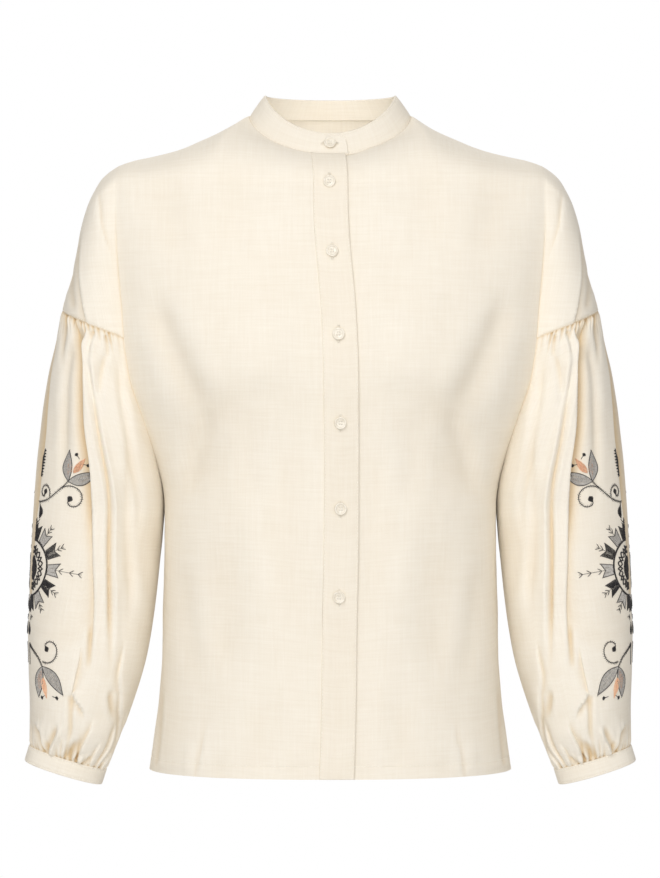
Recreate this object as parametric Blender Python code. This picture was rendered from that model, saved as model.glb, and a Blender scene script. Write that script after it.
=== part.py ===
"""Embroidered linen blouse, worn form: band collar, buttoned front band, dropped
shoulders, full gathered sleeves on narrow cuffs.

Frame: metres, +Z up, the front faces -Y, +X is the wearer's left. The origin is the
middle of the neck, level with the points where the shoulder seams meet the collar.
All cloth is a wall CLOTH thick. Its outer face is worked out from the tables below
and the wall goes inwards. Tables are in millimetres.
"""

import math

import bmesh
import bpy
import numpy as np

# ------------------------------------------------------------------ driving sizes
MM = 0.001
CLOTH = 1.2          # wall of a single cloth panel
SEAM_GAP = 0.34      # between two panels that are sewn together
LAP = 2.4           # how far the under lap of the front lies behind the band
SECTION_POWER = 2.3  # roundness of the body's sections, 2 is an ellipse
HEM_Z = -619.0
CAP_Z = -71.0        # below this the body's sections are level rings
SEAM_V_Z = -213.0    # dropped shoulder seam where it meets the arm crease
SEAM_O_Z = -185.0    # the same seam on the outside of the arm
UNDERARM_Z = -368.0
NECK_SIDE = (76.7, 2.0, 0.0)      # where shoulder seam and collar meet
NECK_FRONT = (0.0, -61.0, -41.5)
NECK_BACK = (0.0, 62.0, 4.0)
CREASE_TOP_X = 199.0              # where the arm crease meets the shoulder line
COLLAR_LAP_OVER = 17.0            # end of the collar's upper lap, past the middle
COLLAR_LAP_UNDER = 13.0
COLLAR_ROUND = 11.0               # radius of the lap's top corner
BAND_W = 32.0                     # width of the front button band
CUFF_H = 15.0
BUTTON_D = 11.5
BUTTON_T = 2.4

# resolution of the faceted cloth
N_TORSO, N_ARM = 11, 9
ROWS_CAP, ROWS_DROP, ROWS_VALLEY, ROWS_SIDE = 3, 4, 5, 6
ROWS_SLEEVE = 10

# level sections of the whole blouse: z, half-outline of the arm (outer x, y), the crease
# between body and arm on the front (crease x, y), heading and reach of the arm's curve
# where it leaves the crease, reach at the outside, and front and back depth of the body
LEVELS = {
    "z":        [-47.8, -71, -109, -147, -185, -213, -251, -289, -327, -350, -368],
    "outer_x":  [205.0, 221.6, 234.9, 244.2, 254.5, 260.6, 268.7, 274.2, 278.6, 280.5, 281.5],
    "outer_y":  [4, 5, 6, 6, 5, 5, 4, 3, 2, 1, 0],
    "crease_x": [199, 200, 200, 197.8, 194.3, 192.2, 186.9, 174.5, 163.5, 159.0, 157.0],
    "crease_y": [0, 52, 58, 60, 60, 59, 54, 43, 27, 14, 0.8],
    "heading":  [5, -4, -16, -24, -30, -34, -45, -62, -80, -88, -90],
    "reach":    [8, 20, 26, 30, 33, 35, 40, 50, 62, 70, 75],
    "outer_reach": [4, 30, 46, 54, 58, 60, 66, 70, 73, 75, 75],
}
BODY = {
    "z":     [-30, -71, -109, -147, -185, -213, -240, -289, -327, -368, -422, -500, -560, -619],
    "front": [60, 86, 99, 109, 117, 121, 122, 118, 114, 111, 108, 106, 108, 112],
    "back":  [66, 86, 96, 102, 105, 106, 106, 104, 102, 101, 101, 104, 108, 112],
    "side":  [156, 156, 156, 156, 156, 156, 156, 156, 156, 157.0, 157, 159, 163, 171.5],
}
SHOULDER = {  # the shoulder line, seen from the front
    "x": [76.7, 96.3, 113.4, 130.5, 147.6, 167.2, 186.8, 199.0, 206.3, 213.7, 218.5, 221.6],
    "z": [0, -12.8, -20.9, -28.2, -34.1, -39, -43.3, -47.8, -52.4, -59.3, -65.4, -71],
}
SLEEVE = {  # tilted rings of the hanging sleeve, from the underarm to the cuff seam
    "outer_x": [281.5, 284.2, 285.7, 286.1, 285.5, 284.3, 283.3],
    "outer_z": [-368, -411, -452.7, -492.6, -530.6, -562.9, -597.1],
    "inner_x": [157.0, 161.3, 166.3, 173.7, 185.5, 198.4, 212.4],
    "inner_z": [-368, -418.5, -465, -510.6, -552.4, -586.6, -618.9],
    "depth":   [56, 58, 60, 60, 56, 48, 29],
    "middle_y": [0, 1, 1, -1, -5, -9, -13],
}
BAND_EDGE = {  # free edge of the button band, seen from the front
    "z": [-36, -65, -95, -120, -186, -247, -338, -398, -477, -555, -619],
    "x": [13.2, 16.0, 16.4, 17.6, 23.2, 25.7, 26.3, 26.0, 24.5, 23.6, 21.9],
}
BUTTON_Z = [-66.0, -134.0, -210.0, -292.5, -371.0, -452.0]  # below the collar's own
# soft shapes of the worn body front: middle x, z, radii and height of each swelling
SWELLS = {
    "x":      [88, 128, 60, 172],
    "z":      [-222, -318, -330, -560],
    "wide":   [58, 30, 40, 26],
    "high":   [62, 48, 60, 60],
    "height": [9, -6, -4, -3],
}
# the largest folds of a sleeve: heading round the arm in degrees (0 is the inside, 90 the
# front, 180 the outside, 270 the back) at the top, the middle and the cuff, and how deep
FOLDS = {
    "top":    [62, 96, 128, 214, 246, 284],
    "middle": [66, 100, 132, 210, 248, 290],
    "cuff":   [52, 104, 140, 204, 250, 300],
    "wide":   [14, 13, 13, 14, 14, 15],
    "deep":   [4.5, 7.0, 3.5, 4.5, 7.0, 5.0],
}
GATHERS = 9          # small pleats where a sleeve is gathered into seam and cuff
GATHER_DEEP = 1.5


# ------------------------------------------------------------------ small helpers
def smooth_table(xs, ys, x):
    """Monotone cubic through a table's points."""
    xs, ys = np.asarray(xs, float), np.asarray(ys, float)
    if xs[0] > xs[-1]:
        xs, ys = xs[::-1], ys[::-1]
    h = np.diff(xs)
    s = np.diff(ys) / h
    m = np.zeros_like(ys)
    m[0], m[-1] = s[0], s[-1]
    for i in range(1, len(ys) - 1):
        if s[i - 1] * s[i] > 0:
            w1, w2 = 2 * h[i] + h[i - 1], h[i] + 2 * h[i - 1]
            m[i] = (w1 + w2) / (w1 / s[i - 1] + w2 / s[i])
    x = np.clip(x, xs[0], xs[-1])
    i = np.clip(np.searchsorted(xs, x) - 1, 0, len(h) - 1)
    t = (x - xs[i]) / h[i]
    return (ys[i] * (1 + 2 * t) * (1 - t) ** 2 + m[i] * h[i] * t * (1 - t) ** 2
            + ys[i + 1] * t * t * (3 - 2 * t) + m[i + 1] * h[i] * t * t * (t - 1))


def level(column, z):
    return float(smooth_table(LEVELS["z"], LEVELS[column], z))


def body(column, z):
    return float(smooth_table(BODY["z"], BODY[column], z))


def sleeve(column, v):
    rows = np.linspace(0, 1, len(SLEEVE["depth"]))
    return float(smooth_table(rows, SLEEVE[column], v))


def band_edge(z):
    return float(smooth_table(BAND_EDGE["z"], BAND_EDGE["x"], z))


def shoulder_z(x):
    return float(smooth_table(SHOULDER["x"], SHOULDER["z"], x))


def bezier(a, b, c, d, t):
    return a * (1 - t) ** 3 + b * 3 * t * (1 - t) ** 2 + c * 3 * t * t * (1 - t) + d * t ** 3


# ------------------------------------------------------------------ the worn form
def crease(z, way):
    """Where body and arm meet at this level: way is -1 on the front, 1 on the back."""
    if z <= UNDERARM_Z:
        return np.array([body("side", z), 0.0, z])
    return np.array([level("crease_x", z), way * level("crease_y", z), z])


def outer(z):
    """The outside line of the arm, which the shoulder seam follows."""
    return np.array([level("outer_x", z), level("outer_y", z), z])


def swell(x, z):
    """How far the cloth of the front stands out of its plain section."""
    out = 0.0
    for k in range(len(SWELLS["x"])):
        dx = (abs(x) - SWELLS["x"][k]) / SWELLS["wide"][k]
        dz = (z - SWELLS["z"][k]) / SWELLS["high"][k]
        out += SWELLS["height"][k] * math.exp(-dx * dx - dz * dz)
    return out


def body_point(x, z, way):
    """A point of the body's section at level z, at x from the middle."""
    v = crease(z, way)
    depth = body("front" if way < 0 else "back", z)
    share = min(abs(v[1]) / depth, 0.98)
    width = v[0] / (1 - share ** SECTION_POWER) ** (1 / SECTION_POWER)
    q = min(abs(x) / width, 1.0)
    y = depth * (1 - q ** SECTION_POWER) ** (1 / SECTION_POWER)
    fade = max(0.0, 1 - (abs(x) / v[0]) ** 8)
    if way < 0:
        y += swell(x, z) * fade
    return np.array([x, way * y, z])


def body_x(f, x0, z, way):
    """x at share f of the section from x0 to the crease, closer where it turns."""
    v = crease(z, way)
    depth = body("front" if way < 0 else "back", z)
    share = min(abs(v[1]) / depth, 0.98)
    width = v[0] / (1 - share ** SECTION_POWER) ** (1 / SECTION_POWER)
    a, b = math.asin(x0 / width), math.asin(min(v[0] / width, 1.0))
    return width * math.sin(a + (b - a) * f)


def neck_point(x, way):
    """The neck seam: x from the middle, on the front or the back."""
    end = NECK_FRONT if way < 0 else NECK_BACK
    s = min(abs(x) / NECK_SIDE[0], 1.0)
    c = math.sqrt(max(0.0, 1 - s * s))
    y = NECK_SIDE[1] + (end[1] - NECK_SIDE[1]) * c
    z = end[2] * c ** (1.15 if way < 0 else 1.0)
    return np.array([x, y, z])


def top_point(f, x0, way):
    """The top edge at share f: the neck seam up to the share NECK_SHARE, then the shoulder."""
    if f <= NECK_SHARE:
        a0 = math.asin(x0 / NECK_SIDE[0])
        a = a0 + (math.pi / 2 - a0) * f / NECK_SHARE
        return neck_point(NECK_SIDE[0] * math.sin(a), way)
    x = NECK_SIDE[0] + (CREASE_TOP_X - NECK_SIDE[0]) * (f - NECK_SHARE) / (1 - NECK_SHARE)
    y = NECK_SIDE[1] + (level("outer_y", -60) - NECK_SIDE[1]) * (x - NECK_SIDE[0]) / 120
    return np.array([x, y, shoulder_z(x)])


NECK_SHARE = 5 / N_TORSO


def cap_slope(f, way):
    """How steeply the cloth leaves the top edge, at share f from the middle to the arm."""
    middle_slope = 38.0 if way < 0 else 30.0
    return math.radians(float(np.interp(f, [0, NECK_SHARE, 0.75, 1.0], [middle_slope, 27.0, 14.0, 3.0])))


def cap_point(f, x_top, x_low, r, way):
    """Over the shoulder: r is 0 at the top edge and 1 at CAP_Z."""
    top = top_point(f, x_top, way)
    low = body_point(body_x(f, x_low, CAP_Z, way), CAP_Z, way)
    b0 = cap_slope(f, way)
    b = b0 + (math.pi / 2 - b0) * r
    flat = (math.sin(b) - math.sin(b0)) / (1 - math.sin(b0))
    drop = (math.cos(b0) - math.cos(b)) / math.cos(b0)
    p = top + (low - top) * flat
    p[2] = top[2] + (low[2] - top[2]) * drop
    return p


def arm_point(v, o, t, way):
    """A point at share t of the curve round the arm, from the crease v to the outside o."""
    heading = math.radians(level("heading", v[2]))
    r1, r2 = level("reach", v[2]), level("outer_reach", o[2])
    b = v + np.array([r1 * math.cos(heading), -way * r1 * math.sin(heading), 0])
    c = o + np.array([0, way * r2, 0])
    b[2] = v[2] + (o[2] - v[2]) * 0.38
    c[2] = v[2] + (o[2] - v[2]) * 0.86
    return bezier(v, b, c, o, t)


def drop_rows():
    """Crease and outside point of each row of the dropped shoulder, top to seam."""
    rows = []
    for i in range(ROWS_CAP + ROWS_DROP + 1):
        s = i / (ROWS_CAP + ROWS_DROP)
        rows.append(-58.0 + (SEAM_O_Z + 58.0) * s ** 1.15)
    return rows


def fold_offset(turn, v):
    """How far the sleeve's cloth lies out of its ring: turn in degrees, v from 0 at the
    shoulder seam to 1 at the cuff."""
    out = 0.0
    for k in range(len(FOLDS["top"])):
        at = float(smooth_table([0, 0.5, 1], [FOLDS["top"][k], FOLDS["middle"][k], FOLDS["cuff"][k]], v))
        d = (turn - at) / FOLDS["wide"][k]
        grow = min(1.0, v / 0.16) * min(1.0, (1 - v) / 0.12)
        out -= FOLDS["deep"][k] * grow * math.exp(-d * d)
        out += 0.55 * FOLDS["deep"][k] * grow * math.exp(-((abs(d) - 1.7) ** 2) * 1.6)
    near = math.exp(-(((v - 0.10) / 0.07) ** 2)) + 1.2 * math.exp(-(((v - 0.93) / 0.05) ** 2))
    return out + near * GATHER_DEEP * math.cos(math.radians(GATHERS * turn))


def sleeve_point(i, j):
    """Row i, column j of a sleeve: columns run from the inside over the front, the
    outside and the back to the inside again."""
    m = 2 * N_ARM
    way = -1 if j <= N_ARM else 1
    t = (j if way < 0 else m - j) / N_ARM
    turn = 180.0 * j / N_ARM
    total = ROWS_VALLEY + ROWS_SLEEVE
    if i <= ROWS_VALLEY:
        s = i / ROWS_VALLEY
        v = crease(SEAM_V_Z + (UNDERARM_Z - SEAM_V_Z) * s, way)
        if i == ROWS_VALLEY:
            v = np.array([SLEEVE["inner_x"][0], 0.0, UNDERARM_Z])
        o = outer(SEAM_O_Z + (UNDERARM_Z - SEAM_O_Z) * s)
        p = arm_point(v, o, t, way)
    else:
        s = (i - ROWS_VALLEY) / ROWS_SLEEVE
        p = ring_point(s, t, way)
    v = i / total
    if 0 < t < 1 or i > ROWS_VALLEY:
        centre = np.array([(level("outer_x", p[2]) + level("crease_x", p[2])) / 2, 0, p[2]])
        out = p - centre
        out[2] = 0
        out /= max(np.linalg.norm(out), 1e-9)
        edge = 1.0 if i > ROWS_VALLEY else min(1.0, 3 * t)
        p = p + out * fold_offset(turn, v) * edge
    return p


def ring_point(s, t, way):
    """A point of the hanging sleeve's plain ring: s from underarm to cuff, t from inside to outside."""
    o = np.array([sleeve("outer_x", s), 0, sleeve("outer_z", s)])
    n = np.array([sleeve("inner_x", s), 0, sleeve("inner_z", s)])
    d = sleeve("depth", s) / 0.75
    y = sleeve("middle_y", s)
    a, b = n + [0, y, 0], o + [0, y, 0]
    reach = np.array([0, way * d, 0])
    return bezier(a, a + reach, b + reach, b, t)


# ------------------------------------------------------------------ sheets to solids
class Sheet:
    """The outer face of one panel: points by key, and faces of keys."""

    def __init__(self, name, colour):
        self.name, self.colour = name, colour
        self.points, self.index, self.faces = [], {}, []

    def put(self, key, p):
        if key not in self.index:
            self.index[key] = len(self.points)
            self.points.append(np.array(p, float))
        return self.index[key]

    def grid(self, rows, flip=False):
        """rows of point numbers; a repeated number closes a corner."""
        for a, b in zip(rows[:-1], rows[1:]):
            for k in range(len(a) - 1):
                f = [a[k], a[k + 1], b[k + 1], b[k]]
                g = [v for n, v in enumerate(f) if v != f[n - 1]]
                if len(g) > 2:
                    self.faces.append(g[::-1] if flip else g)


def face_normal(sheet, f):
    p = [sheet.points[i] for i in f]
    n = np.zeros(3)
    for a, b in zip(p, p[1:] + p[:1]):
        n += np.cross(a, b)
    return n


def shared_normals(sheets):
    """Each sheet's point normals, the same on both sides of a seam."""
    found = {}
    for s in sheets:
        for f in s.faces:
            n = face_normal(s, f)
            for i in f:
                found.setdefault(tuple(np.round(s.points[i], 2)), []).append(n)
    out = []
    for s in sheets:
        rows = []
        for p in s.points:
            n = np.sum(found[tuple(np.round(p, 2))], axis=0)
            rows.append(n / max(np.linalg.norm(n), 1e-12))
        out.append(np.array(rows))
    return out


def edges_of(sheet):
    count = {}
    for f in sheet.faces:
        for a, b in zip(f, f[1:] + f[:1]):
            count.setdefault((min(a, b), max(a, b)), []).append((a, b))
    return [uses[0] for uses in count.values() if len(uses) == 1]


def inset(sheet, by):
    """Edge points drawn in from the seam line."""
    rim = edges_of(sheet)
    before = {b: a for a, b in rim}
    after = dict(rim)
    inner = {}
    for f in sheet.faces:
        mid = np.mean([sheet.points[i] for i in f], axis=0)
        for i in f:
            inner.setdefault(i, []).append(mid)
    moved = {}
    for i in after:
        p = sheet.points[i]
        way = np.mean(inner[i], axis=0) - p
        u, w = p - sheet.points[before[i]], sheet.points[after[i]] - p
        u, w = u / np.linalg.norm(u), w / np.linalg.norm(w)
        along = u + w
        if np.dot(u, w) > 0.5:
            along /= np.linalg.norm(along)
            way = way - along * np.dot(way, along)
            moved[i] = p + way / np.linalg.norm(way) * by
        else:
            moved[i] = p + way / np.linalg.norm(way) * by * 1.4
    for i, p in moved.items():
        sheet.points[i] = p


def solid(sheet, normals, thick=CLOTH, gap=SEAM_GAP):
    """One closed wall from a sheet, as a Blender object."""
    inset(sheet, gap / 2)
    outside = np.array(sheet.points)
    inside = outside - normals * thick
    n = len(outside)
    faces = [list(f) for f in sheet.faces] + [[i + n for i in f[::-1]] for f in sheet.faces]
    for a, b in edges_of(sheet):
        faces.append([b, a, a + n, b + n])
    return make_object(sheet.name, np.vstack([outside, inside]) * MM, faces, sheet.colour)


def make_object(name, points, faces, colour, smooth=True):
    mesh = bpy.data.meshes.new(name)
    mesh.from_pydata([tuple(map(float, p)) for p in points], [], [list(map(int, f)) for f in faces])
    mesh.validate()
    bm = bmesh.new()
    bm.from_mesh(mesh)
    bmesh.ops.triangulate(bm, faces=[f for f in bm.faces if len(f.verts) > 3])
    bm.to_mesh(mesh)
    bm.free()
    ob = bpy.data.objects.new(name, mesh)
    bpy.context.scene.collection.objects.link(ob)
    mesh.materials.append(material(colour))
    if smooth:
        mesh.shade_smooth()
        mesh.set_sharp_from_angle(angle=math.radians(40))
    return ob


COLOURS = {
    "linen": ((0.90, 0.84, 0.73), 0.85),
    "shell": ((0.92, 0.90, 0.85), 0.25),
}


def material(kind):
    if kind in bpy.data.materials:
        return bpy.data.materials[kind]
    m = bpy.data.materials.new(kind)
    m.use_nodes = True
    node = m.node_tree.nodes["Principled BSDF"]
    colour, rough = COLOURS[kind]
    node.inputs["Base Color"].default_value = (*colour, 1)
    node.inputs["Roughness"].default_value = rough
    node.inputs["Metallic"].default_value = 0.0
    return m


# ------------------------------------------------------------------ the panels
def mirrored(p, side):
    return np.array([p[0] * side, p[1], p[2]])


def body_rows():
    """Row names of a body panel from the top edge to the hem."""
    rows = [("cap", i / ROWS_CAP) for i in range(ROWS_CAP + 1)]
    rows += [("z", CAP_Z + (SEAM_V_Z - CAP_Z) * i / ROWS_DROP) for i in range(1, ROWS_DROP + 1)]
    rows += [("z", SEAM_V_Z + (UNDERARM_Z - SEAM_V_Z) * i / ROWS_VALLEY) for i in range(1, ROWS_VALLEY + 1)]
    rows += [("z", UNDERARM_Z + (HEM_Z - UNDERARM_Z) * i / ROWS_SIDE) for i in range(1, ROWS_SIDE + 1)]
    return rows


def row_point(row, f, start, way):
    """Share f of a body row; start(z) gives where the row begins."""
    kind, at = row
    if kind == "cap":
        return cap_point(f, start(NECK_FRONT[2]), start(CAP_Z), at, way)
    return body_point(body_x(f, start(at), at, way), at, way)


def lap_behind(sheet, normals):
    """The under lap of the front lies behind the button band."""
    for i, p in enumerate(sheet.points):
        s = np.clip((band_edge(p[2]) + 26 - p[0]) / 22, 0, 1)
        sheet.points[i] = p - normals[i] * LAP * s * s * (3 - 2 * s)


def half_body(sheet, side, way, start, flip):
    """Half of a body panel: torso part and the part that drops over the arm."""
    rows = body_rows()
    table = []
    for i, row in enumerate(rows):
        line = []
        for k in range(N_TORSO + 1):
            p = row_point(row, k / N_TORSO, start, way)
            if way > 0 and k == 0:
                key = ("mid", i)
            else:
                key = (side, i, k)
            line.append(sheet.put(key, mirrored(p, side)))
        table.append(line)
    sheet.grid(table, flip)
    outers = drop_rows()
    arm = []
    n = ROWS_CAP + ROWS_DROP
    for i in range(n + 1):
        v = row_point(rows[i], 1.0, start, way)
        o = np.array([level("outer_x", outers[i]), level("outer_y", outers[i]), outers[i]])
        if outers[i] > CAP_Z:
            o[0] = float(np.interp(-outers[i], [-z for z in SHOULDER["z"]], SHOULDER["x"]))
        line = [table[i][-1]]
        for k in range(1, N_ARM + 1):
            if i == 0:
                x = v[0] + (o[0] - v[0]) * k / N_ARM
                p = np.array([x, v[1] + (o[1] - v[1]) * k / N_ARM, shoulder_z(x)])
            elif i == n:
                p = sleeve_point(0, k if way < 0 else 2 * N_ARM - k)
            else:
                p = arm_point(v, o, k / N_ARM, way)
            line.append(sheet.put((side, "arm", i, k), mirrored(p, side)))
        arm.append(line)
    sheet.grid(arm, flip)


def under_start(z):
    return -abs(band_edge(z) - BAND_W) + 1.0 if band_edge(z) < BAND_W else 0.0


def over_start(z):
    """On the wearer's right the panel ends at the band's sewn edge, at -x."""
    return BAND_W - band_edge(z)


def middle(z):
    return 0.0


def body_sheets():
    right = Sheet("front_right", "linen")
    half_body(right, -1, -1, over_start, flip=False)
    left = Sheet("front_left", "linen")
    half_body(left, 1, -1, under_start, flip=True)
    back = Sheet("back", "linen")
    half_body(back, 1, 1, middle, flip=False)
    half_body(back, -1, 1, middle, flip=True)
    return right, left, back


def band_sheet():
    """The button band, from the neck seam to the hem."""
    band = Sheet("button_band", "linen")
    table = []
    for i, row in enumerate(body_rows()):
        line = []
        for k in range(4):
            s = k / 3
            if row[0] == "cap":
                xt = -over_start(NECK_FRONT[2]) + BAND_W * s
                xl = -over_start(CAP_Z) + BAND_W * s
                top, low = neck_point(xt, -1), body_point(xl, CAP_Z, -1)
                b0 = math.radians(38)
                b = b0 + (math.pi / 2 - b0) * row[1]
                p = top + (low - top) * (math.sin(b) - math.sin(b0)) / (1 - math.sin(b0))
                p[2] = top[2] + (low[2] - top[2]) * (math.cos(b0) - math.cos(b)) / math.cos(b0)
            else:
                p = body_point(-over_start(row[1]) + BAND_W * s, row[1], -1)
            line.append(band.put((i, k), p))
        table.append(line)
    band.grid(table, flip=True)
    return band


SLIT_COLUMN = N_ARM + 1
SLIT_ROWS = 2
SLIT_OPEN = 2.2


def sleeve_sheet(side, name):
    s = Sheet(name, "linen")
    m = 2 * N_ARM
    total = ROWS_VALLEY + ROWS_SLEEVE
    left_rows, right_rows = [], []
    for i in range(total + 1):
        left, right = [], []
        for j in range(m + 1):
            p = sleeve_point(i, j)
            key = (i, 0 if j == m and i >= ROWS_VALLEY else j)
            if j == SLIT_COLUMN and i > total - SLIT_ROWS:
                q = sleeve_point(i, j + 1) - p
                q /= np.linalg.norm(q)
                left.append(s.put((i, j, "a"), mirrored(p - q * SLIT_OPEN / 2, side)))
                right.append(s.put((i, j, "b"), mirrored(p + q * SLIT_OPEN / 2, side)))
                continue
            n = s.put(key, mirrored(p, side))
            if j <= SLIT_COLUMN:
                left.append(n)
            if j >= SLIT_COLUMN:
                right.append(n)
        left_rows.append(left)
        right_rows.append(right)
    flip = side > 0
    s.grid(left_rows, flip)
    s.grid(right_rows, flip)
    return s


# ------------------------------------------------------------------ collar and cuffs
def collar_point(turn, h):
    """turn in degrees from the middle front towards -x; h is 0 at the neck seam, 1 on top."""
    a = math.radians(turn)
    x, c = -NECK_SIDE[0] * math.sin(a), math.cos(a)
    end = NECK_FRONT if c > 0 else NECK_BACK
    y = NECK_SIDE[1] + (end[1] - NECK_SIDE[1]) * abs(c)
    z = end[2] * abs(c) ** (1.15 if c > 0 else 1.0)
    low = np.array([x, y, z + 0.9])
    top_y = -50.0 if c > 0 else 52.0
    top_z = -21.5 if c > 0 else 20.0
    side_z = 19.4
    top = np.array([-61.6 * math.sin(a), 1.5 + (top_y - 1.5) * abs(c),
                    side_z + (top_z - side_z) * abs(c) ** 1.35])
    return low + (top - low) * h


def collar_wall():
    a = -math.degrees(math.asin(COLLAR_LAP_OVER / NECK_SIDE[0]))
    b = 360 + math.degrees(math.asin(COLLAR_LAP_UNDER / NECK_SIDE[0]))
    per_degree = (b - a) / 48
    near = [0.0, 1.6, 4.0, 7.2, 11.0]
    turns = [a + d / 1.36 for d in near]
    turns += list(np.linspace(turns[-1] + per_degree, b, 42))
    s = Sheet("collar", "linen")
    table = []
    for h in (0.0, 1 / 3, 2 / 3, 1.0):
        line = []
        for n, turn in enumerate(turns):
            d = near[n] if n < len(near) else 99.0
            full = 1.0
            if d < COLLAR_ROUND:
                full = (22.6 - COLLAR_ROUND + math.sqrt(COLLAR_ROUND ** 2 - (COLLAR_ROUND - d) ** 2)) / 22.6
            p = collar_point(turn, h * full)
            under = np.clip((turn - 322) / 22, 0, 1)
            p = p + np.array([0, 2.1 * under * under * (3 - 2 * under), 0])
            line.append(s.put((h, n), p))
        table.append(line)
    s.grid(table, flip=True)
    return s


def cuff_point(turn, h, off=0.0):
    """turn from the inside over the front, in degrees; h is 0 at the sleeve, 1 at the edge."""
    j = (turn % 360) / 180.0
    way = -1 if j <= 1 else 1
    t = j if j <= 1 else 2 - j
    p = ring_point(1.0, t, way)
    o = np.array([sleeve("outer_x", 1), 0, sleeve("outer_z", 1)])
    n = np.array([sleeve("inner_x", 1), 0, sleeve("inner_z", 1)])
    across = (o - n) / np.linalg.norm(o - n)
    down = np.array([across[2], 0, -across[0]])
    if down[2] > 0:
        down = -down
    centre = (o + n) / 2 + [0, sleeve("middle_y", 1), 0]
    out = p - centre
    out /= np.linalg.norm(out)
    return p + down * (0.25 + CUFF_H * h) + out * off


CUFF_FROM, CUFF_TO = 204.0, 204.0 + 360.0 + 30.0


def cuff_sheet(side, name):
    s = Sheet(name, "linen")
    table = []
    turns = np.linspace(CUFF_FROM, CUFF_TO, 32)
    for h in (0.0, 0.5, 1.0):
        line = []
        for n, turn in enumerate(turns):
            over = np.clip((turn - (CUFF_TO - 64)) / 30, 0, 1)
            off = 0.4 + 2.0 * over * over * (3 - 2 * over)
            line.append(s.put((h, n), mirrored(cuff_point(turn, h, off), side)))
        table.append(line)
    s.grid(table, flip=side > 0)
    return s


# ------------------------------------------------------------------ buttons
def button(name, place, out, up):
    """A four-hole button: a turned disc with a raised rim, its face towards out."""
    r, t = BUTTON_D / 2, BUTTON_T
    profile = [(0.0, 0.0), (r * 0.80, 0.0), (r, t * 0.45), (r * 0.92, t),
               (r * 0.62, t * 0.72), (0.0, t * 0.70)]
    out = np.array(out, float) / np.linalg.norm(out)
    side = np.cross(up, out)
    side /= np.linalg.norm(side)
    up = np.cross(out, side)
    n = 16
    points, faces = [], []
    points.append(place)
    for rr, h in profile[1:-1]:
        for k in range(n):
            a = 2 * math.pi * k / n
            points.append(place + side * rr * math.cos(a) + up * rr * math.sin(a) + out * h)
    points.append(place + out * profile[-1][1])
    last = len(points) - 1
    for k in range(n):
        m = (k + 1) % n
        faces.append([0, 1 + m, 1 + k])
        for ring in range(len(profile) - 3):
            a = 1 + ring * n
            faces.append([a + k, a + m, a + n + m, a + n + k])
        a = 1 + (len(profile) - 3) * n
        faces.append([a + k, a + m, last])
    return make_object(name, np.array(points) * MM, faces, "shell", smooth=True)


def outward(p, q, r):
    n = np.cross(q - p, r - p)
    return n / np.linalg.norm(n)


def front_buttons():
    gap = 0.5
    for k, z in enumerate(BUTTON_Z):
        x = band_edge(z) - BAND_W / 2
        p = body_point(x, z, -1) if z < CAP_Z else cap_at(x, z)
        a = body_point(x + 6, z, -1) if z < CAP_Z else cap_at(x + 6, z)
        b = body_point(x, z - 6, -1) if z - 6 < CAP_Z else cap_at(x, z - 6)
        n = outward(p, b, a)
        if n[1] > 0:
            n = -n
        button(f"button_{k + 2}", p + n * gap, n, np.array([0, 0, 1.0]))
    p, a, b = collar_point(0.5, 0.48), collar_point(6, 0.48), collar_point(0.5, 0.9)
    n = outward(p, a, b)
    if n[1] > 0:
        n = -n
    button("button_1", p + n * gap, n, np.array([0, 0, 1.0]))


def cap_at(x, z):
    """The front near the neck: the point at x and height z."""
    low, high = 0.0, 1.0
    for _ in range(40):
        r = (low + high) / 2
        top, end = neck_point(x, -1), body_point(x, CAP_Z, -1)
        b0 = math.radians(38)
        b = b0 + (math.pi / 2 - b0) * r
        p = top + (end - top) * (math.sin(b) - math.sin(b0)) / (1 - math.sin(b0))
        p[2] = top[2] + (end[2] - top[2]) * (math.cos(b0) - math.cos(b)) / math.cos(b0)
        if p[2] > z:
            low = r
        else:
            high = r
    return p


def cuff_button(side, name):
    turn = CUFF_TO - 16
    p, a, b = (cuff_point(turn, 0.5, 2.4), cuff_point(turn + 8, 0.5, 2.4), cuff_point(turn, 0.9, 2.4))
    n = outward(p, a, b)
    c = ring_point(1.0, 0.5, -1) * 0.5 + ring_point(1.0, 0.5, 1) * 0.5
    if np.dot(n, p - c) < 0:
        n = -n
    button(name, mirrored(p + n * 0.5, side), mirrored(n, side), mirrored(cuff_point(turn, 0.0) - p, side))


# ------------------------------------------------------------------ build
def main():
    for ob in list(bpy.data.objects):
        bpy.data.objects.remove(ob, do_unlink=True)
    right, left, back = body_sheets()
    band = band_sheet()
    sleeves = [sleeve_sheet(-1, "sleeve_right"), sleeve_sheet(1, "sleeve_left")]
    sewn = [right, left, back, band, *sleeves]
    for sheet, normals in zip(sewn, shared_normals(sewn)):
        if sheet is left:
            lap_behind(sheet, normals)
        solid(sheet, normals)
    for sheet in [collar_wall(), cuff_sheet(-1, "cuff_right"), cuff_sheet(1, "cuff_left")]:
        solid(sheet, shared_normals([sheet])[0])
    front_buttons()
    cuff_button(-1, "button_cuff_right")
    cuff_button(1, "button_cuff_left")
    print("triangles", sum(len(ob.data.polygons) for ob in bpy.data.objects))


main()
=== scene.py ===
"""Embroidered linen blouse, in the form it takes on a wearer: cloth, stitching, embroidery and buttons.

Frame: metres, +Z up, the front faces -Y, +X is the wearer's left. Tables are in
millimetres. Places in the front view are in steps of 0.95 mm from the top left of a
660 x 878 view, for the half of the blouse on the wearer's right.
"""

import math

import bpy
import numpy as np
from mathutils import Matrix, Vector
from mathutils.geometry import delaunay_2d_cdt


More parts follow.
